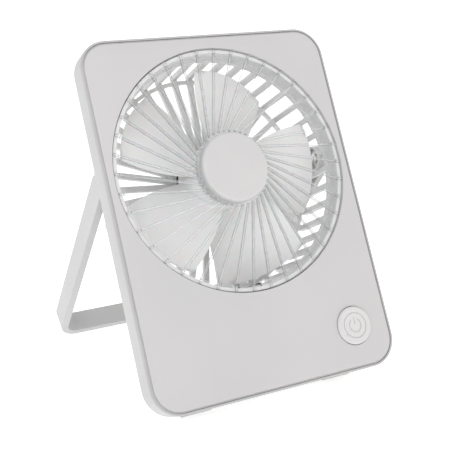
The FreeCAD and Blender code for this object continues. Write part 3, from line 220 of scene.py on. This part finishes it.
def merged_copy(node, material):
    """A CAD node's mesh in its material, with its triangles joined up and its flat faces made whole."""
    mesh = frame["nodes"][node].data.copy()
    mesh.materials.clear()
    mesh.materials.append(material)
    work = bmesh.new()
    work.from_mesh(mesh)
    bmesh.ops.remove_doubles(work, verts=work.verts, dist=merge_distance)
    bmesh.ops.dissolve_limit(work, angle_limit=flat_angle, verts=work.verts, edges=work.edges)
    work.to_mesh(mesh)
    work.free()
    return mesh


# Satin ABS: a soft, even sheen with a barely uneven white, as blasted mouldings have.
case_abs = surface("satin_moulded_abs", "#B8B8B9", "#C0BFBF", 60, 0.35, (0.28, 0.42), 0.004,
                   {"IOR": 1.52, "Specular IOR Level": 0.5})
finish_piece("case_back", merged_copy("rear_shell", case_abs), "case", "rear_shell")


# ------------------------------------------------------------------ rubber feet
# Two blocks of pale moulded rubber, glued under the bay. They are cut at the angle that the case leans
# at, so that their soles lie flat on the table.

def finish_node(material, *names):
    """Gives carried-over CAD nodes their finish; their shape is already right."""
    for name in names:
        slots = frame["nodes"][name].data.materials
        slots.clear()
        slots.append(material)


# Moulded rubber: dead matt, with a sandy grain and hardly any gloss.
foot_rubber = surface("matt_pale_rubber", "#CFCFCD", "#DADAD8", 12, 0.25, (0.7, 0.85), 0.012,
                      {"Specular IOR Level": 0.3})
finish_node(foot_rubber, "base_feet", "button_cushion")


# ------------------------------------------------------------------ battery and its tray
# Two steel cells in shrink wrap lie side by side in an open nylon tray, which is screwed into the bay.
# Spot-welded nickel strip joins their ends, and leads in soft sleeves run to the board.

# Glass-filled nylon: near black, half matt, with a coarse flow grain.
black_nylon = surface("black_glass_filled_nylon", "#1D1D1E", "#29292A", 8, 0.4, (0.42, 0.6), 0.008)
# Shrink wrap: thin glossy PVC over steel, so it has a clear coat over a plain strong colour.
shrink_wrap = surface("shrink_wrap_pvc", "#2B6A9C", "#3A7CAF", 20, 0.6, (0.12, 0.25), 0.002,
                      {"Coat Weight": 0.5})
# Rolled nickel: a warm bright metal with faint rolling streaks.
nickel_strip = surface("rolled_nickel_strip", "#BDB7AA", "#CBC6BA", 1.5, 0.12, (0.25, 0.4), 0.001,
                       {"Metallic": 1.0})
# Soft PVC: a dark sleeve, smooth and half matt.
soft_pvc = surface("soft_pvc_sleeve", "#191919", "#242424", 6, 0.3, (0.38, 0.52), 0.002)
finish_node(black_nylon, "battery_tray")
finish_node(shrink_wrap, "battery_cells")
finish_node(nickel_strip, "battery_tabs")
finish_node(soft_pvc, "battery_leads", "motor_lead")


# ------------------------------------------------------------------ main board
# A green fibreglass board stands on posts in the bay. It carries the charging socket, the switch, two
# chips, a choke and the plugs for the leads.

def board_finish(name, mask, track, track_mm, height_mm):
    """Solder mask: a glossy tinted lacquer over copper tracks, which show as raised paler lines."""
    material = bpy.data.materials.new(name)
    material.use_nodes = True
    tree = material.node_tree
    shader = tree.nodes["Principled BSDF"]
    place = add_node(tree, "ShaderNodeTexCoord").outputs["Object"]
    cells = add_node(tree, "ShaderNodeTexVoronoi", {"feature": "DISTANCE_TO_EDGE", "distance": "MANHATTAN"},
                     {"Vector": place, "Scale": 1000 / track_mm})
    lines = add_node(tree, "ShaderNodeMapRange", None,
                     {"Value": cells.outputs["Distance"], "From Min": 0.04, "From Max": 0.09})
    colour = add_node(tree, "ShaderNodeMixRGB", None,
                      {"Fac": lines.outputs["Result"], "Color1": linear(track), "Color2": linear(mask)})
    tree.links.new(colour.outputs["Color"], shader.inputs["Base Color"])
    relief = add_node(tree, "ShaderNodeBump", {"invert": True},
                      {"Height": lines.outputs["Result"], "Distance": height_mm / 1000, "Strength": 1.0})
    tree.links.new(relief.outputs["Normal"], shader.inputs["Normal"])
    shader.inputs["Roughness"].default_value = 0.3
    shader.inputs["Coat Weight"].default_value = 0.4
    return material


solder_mask = board_finish("green_solder_mask", "#0F5A36", "#1E7A4C", 3.2, 0.04)
# Moulded epoxy: black and half matt, with hardly any grain.
moulded_epoxy = surface("moulded_epoxy", "#141416", "#1D1D20", 2, 0.1, (0.35, 0.5), 0.004)
# Nickel-plated steel: bright and even, with the fine turning marks dulling its gloss a little.
plated_steel = surface("nickel_plated_steel", "#C6C6C4", "#D5D4D1", 3, 0.15, (0.18, 0.32), 0.0015,
                       {"Metallic": 1.0})
finish_node(solder_mask, "main_board", "motor_board")
finish_node(moulded_epoxy, "board_chips")
finish_node(plated_steel, "usb_socket")
finish_node(black_nylon, "usb_tongue", "lead_plugs", "tact_switch", "switch_plunger")


# ------------------------------------------------------------------ rear grille
# A basket of forty radial ribs in white ABS, screwed to the back wall. It carries the motor, the collar
# that the front grille plugs into, and the two cheeks that the stand turns in.

# The same ABS as the case, unblasted and a shade brighter.
basket_abs = surface("bright_moulded_abs", "#DDDDDD", "#E4E4E3", 40, 0.4, (0.28, 0.4), 0.003,
                     {"IOR": 1.52})
finish_piece("rear_basket", merged_copy("rear_grille", basket_abs), "case", "rear_grille")


# ------------------------------------------------------------------ motor
# An outer-rotor motor: a nylon mount with a bronze bush, a laminated core with six windings, and round
# it a steel yoke with a ring magnet, which turns with the impeller.

def banded(name, dark, light, spacing_mm, rough, relief_mm, sockets=None):
    """Stacked sheets or close turns of wire: bands across the motor's axis, with a groove between each."""
    material = bpy.data.materials.new(name)
    material.use_nodes = True
    tree = material.node_tree
    shader = tree.nodes["Principled BSDF"]
    place = add_node(tree, "ShaderNodeTexCoord").outputs["Object"]
    along = add_node(tree, "ShaderNodeVectorMath", {"operation": "DOT_PRODUCT"}, {0: place, 1: outward})
    phase = add_node(tree, "ShaderNodeMath", {"operation": "MULTIPLY"},
                     {0: along.outputs["Value"], 1: 2 * math.pi * 1000 / spacing_mm})
    wave = add_node(tree, "ShaderNodeMath", {"operation": "SINE"}, {0: phase.outputs["Value"]})
    level = add_node(tree, "ShaderNodeMapRange", None,
                     {"Value": wave.outputs["Value"], "From Min": -1, "From Max": 0.2})
    # Dark lies in each groove and light on each crest; on the wire these are painted shade and a painted
    # highlight.
    colour = add_node(tree, "ShaderNodeMixRGB", None,
                      {"Fac": level.outputs["Result"], "Color1": linear(dark), "Color2": linear(light)})
    tree.links.new(colour.outputs["Color"], shader.inputs["Base Color"])
    relief = add_node(tree, "ShaderNodeBump", None,
                      {"Height": level.outputs["Result"], "Distance": relief_mm / 1000, "Strength": 1.0})
    tree.links.new(relief.outputs["Normal"], shader.inputs["Normal"])
    shader.inputs["Roughness"].default_value = rough
    for key, value in (sockets or {}).items():
        shader.inputs[key].default_value = value
    return material


# Half-millimetre sheets of electrical steel, blued at their edges.
core_steel = banded("laminated_steel", "#55575A", "#8B8D90", 0.5, 0.4, 0.05, {"Metallic": 1.0})
# Wire 0.35 mm thick under a clear enamel. The paler crest of each turn is a painted highlight and the darker
# band between turns painted shade.
copper_wire = banded("enamelled_copper_wire", "#7C3F20", "#C67F48", 0.35, 0.3, 0.08,
                     {"Metallic": 1.0, "Coat Weight": 0.5})
# Sintered bronze: pressed powder, so its gloss is broken by open pores.
sintered_bronze = surface("sintered_bronze", "#94743F", "#B29059", 0.8, 0.1, (0.4, 0.6), 0.01,
                          {"Metallic": 1.0})
# Bonded ferrite: a dark grey ceramic look, matt and sandy.
bonded_ferrite = surface("bonded_ferrite", "#29292A", "#353535", 2, 0.1, (0.6, 0.78), 0.01)
finish_node(black_nylon, "motor_mount")
finish_node(sintered_bronze, "shaft_bush")
finish_node(core_steel, "stator_core")
finish_node(copper_wire, "stator_coils")
finish_node(bonded_ferrite, "rotor_magnet")
finish_node(plated_steel, "rotor_yoke", "motor_shaft", "shaft_clip")


# ------------------------------------------------------------------ impeller
# Five broad blades and a cupped hub, moulded in one in white polypropylene and fixed to the yoke. The
# plastic lets a little light through.

impeller_pp = surface("moulded_polypropylene", "#ECEDED", "#F2F2F2", 25, 0.8, (0.3, 0.4), 0.003,
                      {"IOR": 1.49, "Subsurface Weight": 0.15, "Subsurface Scale": 0.003})
finish_piece("impeller_blades", merged_copy("impeller", impeller_pp), "impeller_rotor", "impeller",
             sharp_angle=40)


# ------------------------------------------------------------------ front grille
# One clear moulding in styrene: a ring with a short skirt that plugs into the collar, a hub, and forty
# thin bars that leave the hub at a slant, so that they swirl round it and end in ticks on the ring.

def turned_solid(profile, steps):
    """A closed profile of (radius, depth) in millimetres, turned about the fan's axis."""
    work = bmesh.new()
    rings = []
    for step in range(steps):
        angle = 2 * math.pi * step / steps
        rings.append([work.verts.new((r * math.cos(angle) / 1000, r * math.sin(angle) / 1000, z / 1000))
                      for r, z in profile])
    for ring, following in zip(rings, rings[1:] + rings[:1]):
        for number in range(len(profile)):
            after = (number + 1) % len(profile)
            work.faces.new((ring[number], following[number], following[after], ring[after]))
    bmesh.ops.recalc_face_normals(work, faces=work.faces)
    mesh = bpy.data.meshes.new("turned")
    work.to_mesh(mesh)
    work.free()
    return mesh


def rounded_corners(profile, radius, steps=3):
    """The profile with each corner replaced by a short curve."""
    points = []
    for before, corner, after in zip(profile[-1:] + profile[:-1], profile, profile[1:] + profile[:1]):
        here = Vector(corner)
        start = here + (Vector(before) - here).normalized() * radius
        end = here + (Vector(after) - here).normalized() * radius
        for step in range(steps + 1):
            t = step / steps
            points.append(tuple(start * (1 - t) ** 2 + here * 2 * t * (1 - t) + end * t ** 2))
    return points


def node_group(name, inputs):
    """An empty geometry tree with named number inputs, and its input and output nodes."""
    tree = bpy.data.node_groups.new(name, "GeometryNodeTree")
    tree.interface.new_socket("Geometry", in_out="INPUT", socket_type="NodeSocketGeometry")
    for label, kind in inputs:
        tree.interface.new_socket(label, in_out="INPUT", socket_type=kind)
    tree.interface.new_socket("Geometry", in_out="OUTPUT", socket_type="NodeSocketGeometry")
    return tree, tree.nodes.new("NodeGroupInput"), tree.nodes.new("NodeGroupOutput")


def grown_mesh(name, tree, values):
    """Runs a geometry tree on one loose point, with its inputs set by name, and returns the plain mesh."""
    seed = bpy.data.meshes.new(name + "_seed")
    seed.from_pydata([(0, 0, 0)], [], [])
    holder = bpy.data.objects.new(name + "_holder", seed)
    scene.collection.objects.link(holder)
    modifier = holder.modifiers.new("grow", "NODES")
    modifier.node_group = tree
    sockets = {item.name: item.identifier for item in tree.interface.items_tree if item.in_out == "INPUT"}
    for label, value in values.items():
        modifier[sockets[label]] = value
    bpy.context.view_layer.update()
    evaluated = holder.evaluated_get(bpy.context.evaluated_depsgraph_get())
    mesh = bpy.data.meshes.new_from_object(evaluated)
    holder.modifiers.remove(modifier)
    bpy.data.objects.remove(holder)
    mesh.name = name
    return mesh


def styrene(name, side_painted_shade, face, side_cover, face_cover):
    """Clear styrene. Light passes on to what lies behind, faces across the axis are a thin film, and the
    walls along it are given the darker side colour, a painted shade for the fine dark lines of refraction."""
    material = bpy.data.materials.new(name)
    material.use_nodes = True
    tree = material.node_tree
    shader = tree.nodes["Principled BSDF"]
    streak_mm, streak_depth = 6, 0.06
    place = add_node(tree, "ShaderNodeTexCoord")
    facing = add_node(tree, "ShaderNodeVectorMath", {"operation": "DOT_PRODUCT"},
                      {0: place.outputs["Normal"], 1: outward})
    flat = add_node(tree, "ShaderNodeMath", {"operation": "ABSOLUTE"}, {0: facing.outputs["Value"]})
    haze = add_node(tree, "ShaderNodeTexNoise", None,
                    {"Vector": place.outputs["Object"], "Scale": 1000 / streak_mm, "Detail": 2.0})
    streaks = add_node(tree, "ShaderNodeMapRange", None,
                       {"Value": haze.outputs["Fac"], "To Min": -streak_depth, "To Max": streak_depth})
    cover = add_node(tree, "ShaderNodeMapRange", None,
                     {"Value": flat.outputs["Value"], "To Min": side_cover, "To Max": face_cover})
    total = add_node(tree, "ShaderNodeMath", {"operation": "ADD"},
                     {0: cover.outputs["Result"], 1: streaks.outputs["Result"]})
    colour = add_node(tree, "ShaderNodeMixRGB", None,
                      {"Fac": flat.outputs["Value"], "Color1": linear(side_painted_shade), "Color2": linear(face)})
    tree.links.new(colour.outputs["Color"], shader.inputs["Base Color"])
    tree.links.new(total.outputs["Value"], shader.inputs["Alpha"])
    shader.inputs["Roughness"].default_value = 0.08
    shader.inputs["IOR"].default_value = 1.59
    return material


# The bars' grey side walls, and the ring's paler grey ones, are painted shade for refraction lines.
bar_styrene = styrene("clear_styrene_bars", "#84878A", "#FAFBFC", 0.56, 0.17)
ring_styrene = styrene("clear_styrene_ring", "#E2E4E5", "#F6F7F8", 0.12, 0.14)

# Radii and depths of the turned parts, in millimetres; depth 0 is the cover's face.
ring_outer, ring_inner, skirt_outer = 62.3, 58.9, 60
ring_back, skirt_back = -1.2, -7
ring_profile = [(ring_inner, 0), (ring_outer, 0), (ring_outer, ring_back), (skirt_outer, ring_back),
                (skirt_outer, skirt_back), (ring_inner, skirt_back)]
hub_outer, hub_inner, hub_bore = 19.6, 18.2, 3.1
hub_front, hub_floor, hub_back = 0.2, -1.2, -2.8
hub_profile = [(hub_inner, hub_front), (hub_outer, hub_front), (hub_outer, hub_back),
               (hub_bore, hub_back), (hub_bore, hub_floor), (hub_inner, hub_floor)]

bar_tree, given, result = node_group("swirled_bars", [
    ("Count", "NodeSocketInt"), ("Phase", "NodeSocketFloat"), ("Offset", "NodeSocketFloat"),
    ("Start", "NodeSocketFloat"), ("End", "NodeSocketFloat"), ("Level", "NodeSocketFloat"),
    ("Width", "NodeSocketFloat"), ("Depth", "NodeSocketFloat"), ("Round", "NodeSocketFloat"),
    ("Material", "NodeSocketMaterial")])
first = add_node(bar_tree, "ShaderNodeCombineXYZ", None,
                 {0: given.outputs["Start"], 1: given.outputs["Offset"], 2: given.outputs["Level"]})
last = add_node(bar_tree, "ShaderNodeCombineXYZ", None,
                {0: given.outputs["End"], 1: given.outputs["Offset"], 2: given.outputs["Level"]})
middle_line = add_node(bar_tree, "GeometryNodeCurvePrimitiveLine", None,
                       {"Start": first.outputs[0], "End": last.outputs[0]})
outline = add_node(bar_tree, "GeometryNodeCurvePrimitiveQuadrilateral", None,
                   {"Width": given.outputs["Width"], "Height": given.outputs["Depth"]})
eased = add_node(bar_tree, "GeometryNodeFilletCurve", {"mode": "POLY"}, {
    "Curve": outline.outputs["Curve"], "Radius": given.outputs["Round"], "Count": 2, "Limit Radius": True})
bar = add_node(bar_tree, "GeometryNodeCurveToMesh", None, {
    "Curve": middle_line.outputs["Curve"], "Profile Curve": eased.outputs["Curve"], "Fill Caps": True})
places = add_node(bar_tree, "GeometryNodePoints", None, {"Count": given.outputs["Count"]})
number = add_node(bar_tree, "GeometryNodeInputIndex")
pitch = add_node(bar_tree, "ShaderNodeMath", {"operation": "DIVIDE"},
                 {0: 2 * math.pi, 1: given.outputs["Count"]})
turn = add_node(bar_tree, "ShaderNodeMath", {"operation": "MULTIPLY_ADD"},
                {0: number.outputs["Index"], 1: pitch.outputs["Value"], 2: given.outputs["Phase"]})
rotation = add_node(bar_tree, "ShaderNodeCombineXYZ", None, {2: turn.outputs["Value"]})
spread = add_node(bar_tree, "GeometryNodeInstanceOnPoints", None, {
    "Points": places.outputs["Points"], "Instance": bar.outputs["Mesh"], "Rotation": rotation.outputs[0]})
solid = add_node(bar_tree, "GeometryNodeRealizeInstances", None, {"Geometry": spread.outputs["Instances"]})
dressed = add_node(bar_tree, "GeometryNodeSetMaterial", None,
                   {"Geometry": solid.outputs["Geometry"], "Material": given.outputs["Material"]})
bar_tree.links.new(dressed.outputs["Geometry"], result.inputs["Geometry"])

# The bars run along lines that pass the axis at the offset. All of these are in metres.
bar_sizes = {
    "Count": 40, "Phase": math.radians(4.1), "Offset": 0.0106, "Round": 0.0003, "Material": bar_styrene}
bar_start, bar_end, tick_end = 0.0159, 0.0586, 0.0609
long_bars = grown_mesh("long_bars", bar_tree, {
    **bar_sizes, "Start": bar_start, "End": bar_end, "Level": -0.0008, "Width": 0.0011, "Depth": 0.002})
ring_ticks = grown_mesh("ring_ticks", bar_tree, {
    **bar_sizes, "Start": bar_end, "End": tick_end, "Level": -0.0004, "Width": 0.0013, "Depth": 0.0012})


def joined(name, parts):
    """One mesh of several, given as pairs of a mesh and its material."""
    whole = bpy.data.meshes.new(name)
    work = bmesh.new()
    for mesh, material in parts:
        if material.name not in whole.materials:
            whole.materials.append(material)
        index = whole.materials.find(material.name)
        start = len(work.faces)
        work.from_mesh(mesh)
        work.faces.ensure_lookup_table()
        for face in work.faces[start:]:
            face.material_index = index
    work.to_mesh(whole)
    work.free()
    return whole


grille_mesh = joined("front_grille", [
    (turned_solid(rounded_corners(ring_profile, radius=0.3), steps=192), ring_styrene),
    (turned_solid(rounded_corners(hub_profile, radius=0.25), steps=96), ring_styrene),
    (long_bars, bar_styrene), (ring_ticks, bar_styrene)])
grille_mesh.transform(case_frame)
finish_piece("front_grille_clear", grille_mesh, "case", "front_grille", sharp_angle=50)

# The cap over the bars' hub is opaque and polished, with a soft round edge.
cap_abs = surface("polished_abs", "#CBCACA", "#D0CFCF", 30, 0.6, (0.2, 0.28), 0.002, {"IOR": 1.52})
finish_piece("grille_cap_disc", merged_copy("grille_cap", cap_abs), "case", "grille_cap")


# ------------------------------------------------------------------ front cover
# A flat ABS plate set into the rim with a narrow groove round it, and screwed on from behind. Its face
# is spark-eroded to a fine matt.

# Spark-eroded ABS: duller and a shade greyer than the rim, so that the rim reads as a lighter frame.
cover_abs = surface("fine_matt_abs", "#C6C5C6", "#CCCACA", 90, 0.3, (0.42, 0.55), 0.006,
                    {"IOR": 1.52, "Specular IOR Level": 0.5})
finish_piece("cover_plate", merged_copy("front_cover", cover_abs), "case", "front_cover")


# ------------------------------------------------------------------ power button
# A round ABS push button with an engraved ring and a generic on-off mark. It slides in its hole in the
# cover, on a rubber cushion over the switch.

# Polished ABS: a shade brighter than the plate round it, with a tighter highlight.
button_abs = surface("polished_button_abs", "#D3D2D2", "#D8D7D7", 15, 0.5, (0.22, 0.3), 0.002, {"IOR": 1.52})
finish_piece("push_button", merged_copy("power_button", button_abs), "button", "power_button")


# ------------------------------------------------------------------ stand
# A flat strip of ABS bent into a U, moulded in one with the two stubs it turns on. Nylon washers give
# the joint its friction, and a steel washer and screw hold each stub from inside the basket.

def soften(piece, width_mm, sharpest=30):
    """Rounds a piece's sharp edges by a small radius, as a moulding tool leaves them."""
    bevel = piece.modifiers.new("edge_round", "BEVEL")
    bevel.width = width_mm / 1000
    bevel.segments = 2
    bevel.limit_method = "ANGLE"
    bevel.angle_limit = math.radians(sharpest)
    bevel.harden_normals = True


stand = finish_piece("folding_stand", merged_copy("u_stand", case_abs), "stand", "u_stand")
soften(stand, 0.4)
finish_node(black_nylon, "friction_washers")
finish_node(plated_steel, "retaining_washers")


# ------------------------------------------------------------------ screws
# Cross-head pan screws in plated steel, in two sizes, all driven along the fan's axis except the two
# that hold the stand.

screw_tree, given, result = node_group("pan_head_screws", [
    ("Head radius", "NodeSocketFloat"), ("Head height", "NodeSocketFloat"),
    ("Shank radius", "NodeSocketFloat"), ("Shank length", "NodeSocketFloat"),
    ("Material", "NodeSocketMaterial")])
slot_length_of_radius, slot_width_of_radius = 1.15, 0.26
crown = add_node(screw_tree, "GeometryNodeMeshCylinder", None, {
    "Vertices": 32, "Radius": given.outputs["Head radius"], "Depth": given.outputs["Head height"]})
half_head = add_node(screw_tree, "ShaderNodeMath", {"operation": "MULTIPLY"},
                     {0: given.outputs["Head height"], 1: 0.5})
lift = add_node(screw_tree, "ShaderNodeCombineXYZ", None, {2: half_head.outputs["Value"]})
raised = add_node(screw_tree, "GeometryNodeTransform", None,
                  {"Geometry": crown.outputs["Mesh"], "Translation": lift.outputs[0]})

slot_long, slot_wide = [
    add_node(screw_tree, "ShaderNodeMath", {"operation": "MULTIPLY"},
             {0: given.outputs["Head radius"], 1: share})
    for share in (slot_length_of_radius, slot_width_of_radius)]
bits = add_node(screw_tree, "GeometryNodeJoinGeometry")
for along, across in ((slot_long, slot_wide), (slot_wide, slot_long)):
    bit_size = add_node(screw_tree, "ShaderNodeCombineXYZ", None, {
        0: along.outputs["Value"], 1: across.outputs["Value"], 2: given.outputs["Head height"]})
    bit = add_node(screw_tree, "GeometryNodeMeshCube", None, {"Size": bit_size.outputs[0]})
    screw_tree.links.new(bit.outputs["Mesh"], bits.inputs["Geometry"])
top = add_node(screw_tree, "ShaderNodeCombineXYZ", None, {2: given.outputs["Head height"]})
bits_up = add_node(screw_tree, "GeometryNodeTransform", None,
                   {"Geometry": bits.outputs["Geometry"], "Translation": top.outputs[0]})
recessed = add_node(screw_tree, "GeometryNodeMeshBoolean", {"operation": "DIFFERENCE"},
                    {"Mesh 1": raised.outputs["Geometry"], "Mesh 2": bits_up.outputs["Geometry"]})

shank = add_node(screw_tree, "GeometryNodeMeshCylinder", None, {
    "Vertices": 20, "Radius": given.outputs["Shank radius"], "Depth": given.outputs["Shank length"]})
half_shank = add_node(screw_tree, "ShaderNodeMath", {"operation": "MULTIPLY"},
                      {0: given.outputs["Shank length"], 1: -0.5})
drop = add_node(screw_tree, "ShaderNodeCombineXYZ", None, {2: half_shank.outputs["Value"]})
lowered = add_node(screw_tree, "GeometryNodeTransform", None,
                   {"Geometry": shank.outputs["Mesh"], "Translation": drop.outputs[0]})
whole_screw = add_node(screw_tree, "GeometryNodeJoinGeometry")
for part in (recessed.outputs["Mesh"], lowered.outputs["Geometry"]):
    screw_tree.links.new(part, whole_screw.inputs["Geometry"])
driven = add_node(screw_tree, "GeometryNodeInstanceOnPoints", None,
                  {"Points": given.outputs["Geometry"], "Instance": whole_screw.outputs["Geometry"]})
solid = add_node(screw_tree, "GeometryNodeRealizeInstances", None, {"Geometry": driven.outputs["Instances"]})
dressed = add_node(screw_tree, "GeometryNodeSetMaterial", None,
                   {"Geometry": solid.outputs["Geometry"], "Material": given.outputs["Material"]})
screw_tree.links.new(dressed.outputs["Geometry"], result.inputs["Geometry"])


def separate_lumps(node):
    """The corner points of each loose solid in a CAD node, always in the same order."""
    work = bmesh.new()
    work.from_mesh(frame["nodes"][node].data)
    bmesh.ops.remove_doubles(work, verts=work.verts, dist=merge_distance)
    seen = set()
    lumps = []
    for start in work.verts:
        if start in seen:
            continue
        seen.add(start)
        reached = [start]
        for vert in reached:
            for edge in vert.link_edges:
                other = edge.other_vert(vert)
                if other not in seen:
                    seen.add(other)
                    reached.append(other)
        lumps.append([vert.co.copy() for vert in reached])
    work.free()
    return lumps


# Points this near the head's radius lie on its rim, and points this near the end lie on the tip.
rim_share = 0.98
tip_height = 0.0001


def fit_screws(node, body, heads_face=None):
    """Puts a detailed screw in the place of each plain one, with its head facing the given way, or
    facing the fan's middle where none is given."""
    parts = []
    for lump in separate_lumps(node):
        inward = -sideways if sum(point.x for point in lump) > 0 else sideways
        axis = inward if heads_face is None else heads_face
        turn_up = Vector((0, 0, 1)).rotation_difference(axis).to_matrix()
        local = [turn_up.transposed() @ point for point in lump]
        low, high = min(p.z for p in local), max(p.z for p in local)
        middle = Vector(((min(p.x for p in local) + max(p.x for p in local)) / 2,
                         (min(p.y for p in local) + max(p.y for p in local)) / 2, 0))
        reach = [(math.hypot(p.x - middle.x, p.y - middle.y), p.z) for p in local]
        head_radius = max(r for r, z in reach)
        seat = min(z for r, z in reach if r > head_radius * rim_share)
        shank_radius = max(r for r, z in reach if z < low + tip_height)
        mesh = grown_mesh(node, screw_tree, {
            "Head radius": head_radius, "Head height": high - seat, "Shank radius": shank_radius,
            "Shank length": seat - low, "Material": plated_steel})
        mesh.transform(Matrix.Translation(turn_up @ (middle + Vector((0, 0, seat)))) @ turn_up.to_4x4())
        parts.append((mesh, plated_steel))
    name = node + "_cross_head"
    finish_piece(name, joined(name, parts), body, node, sharp_angle=35)


for node in ("cover_screws", "grille_screws", "motor_screws"):
    fit_screws(node, "case", -outward)
for node in ("board_screws", "tray_screws"):
    fit_screws(node, "case", outward)
fit_screws("pivot_screws", "stand")


# ------------------------------------------------------------------ update
# The view layer is brought up to date.

bpy.context.view_layer.update()
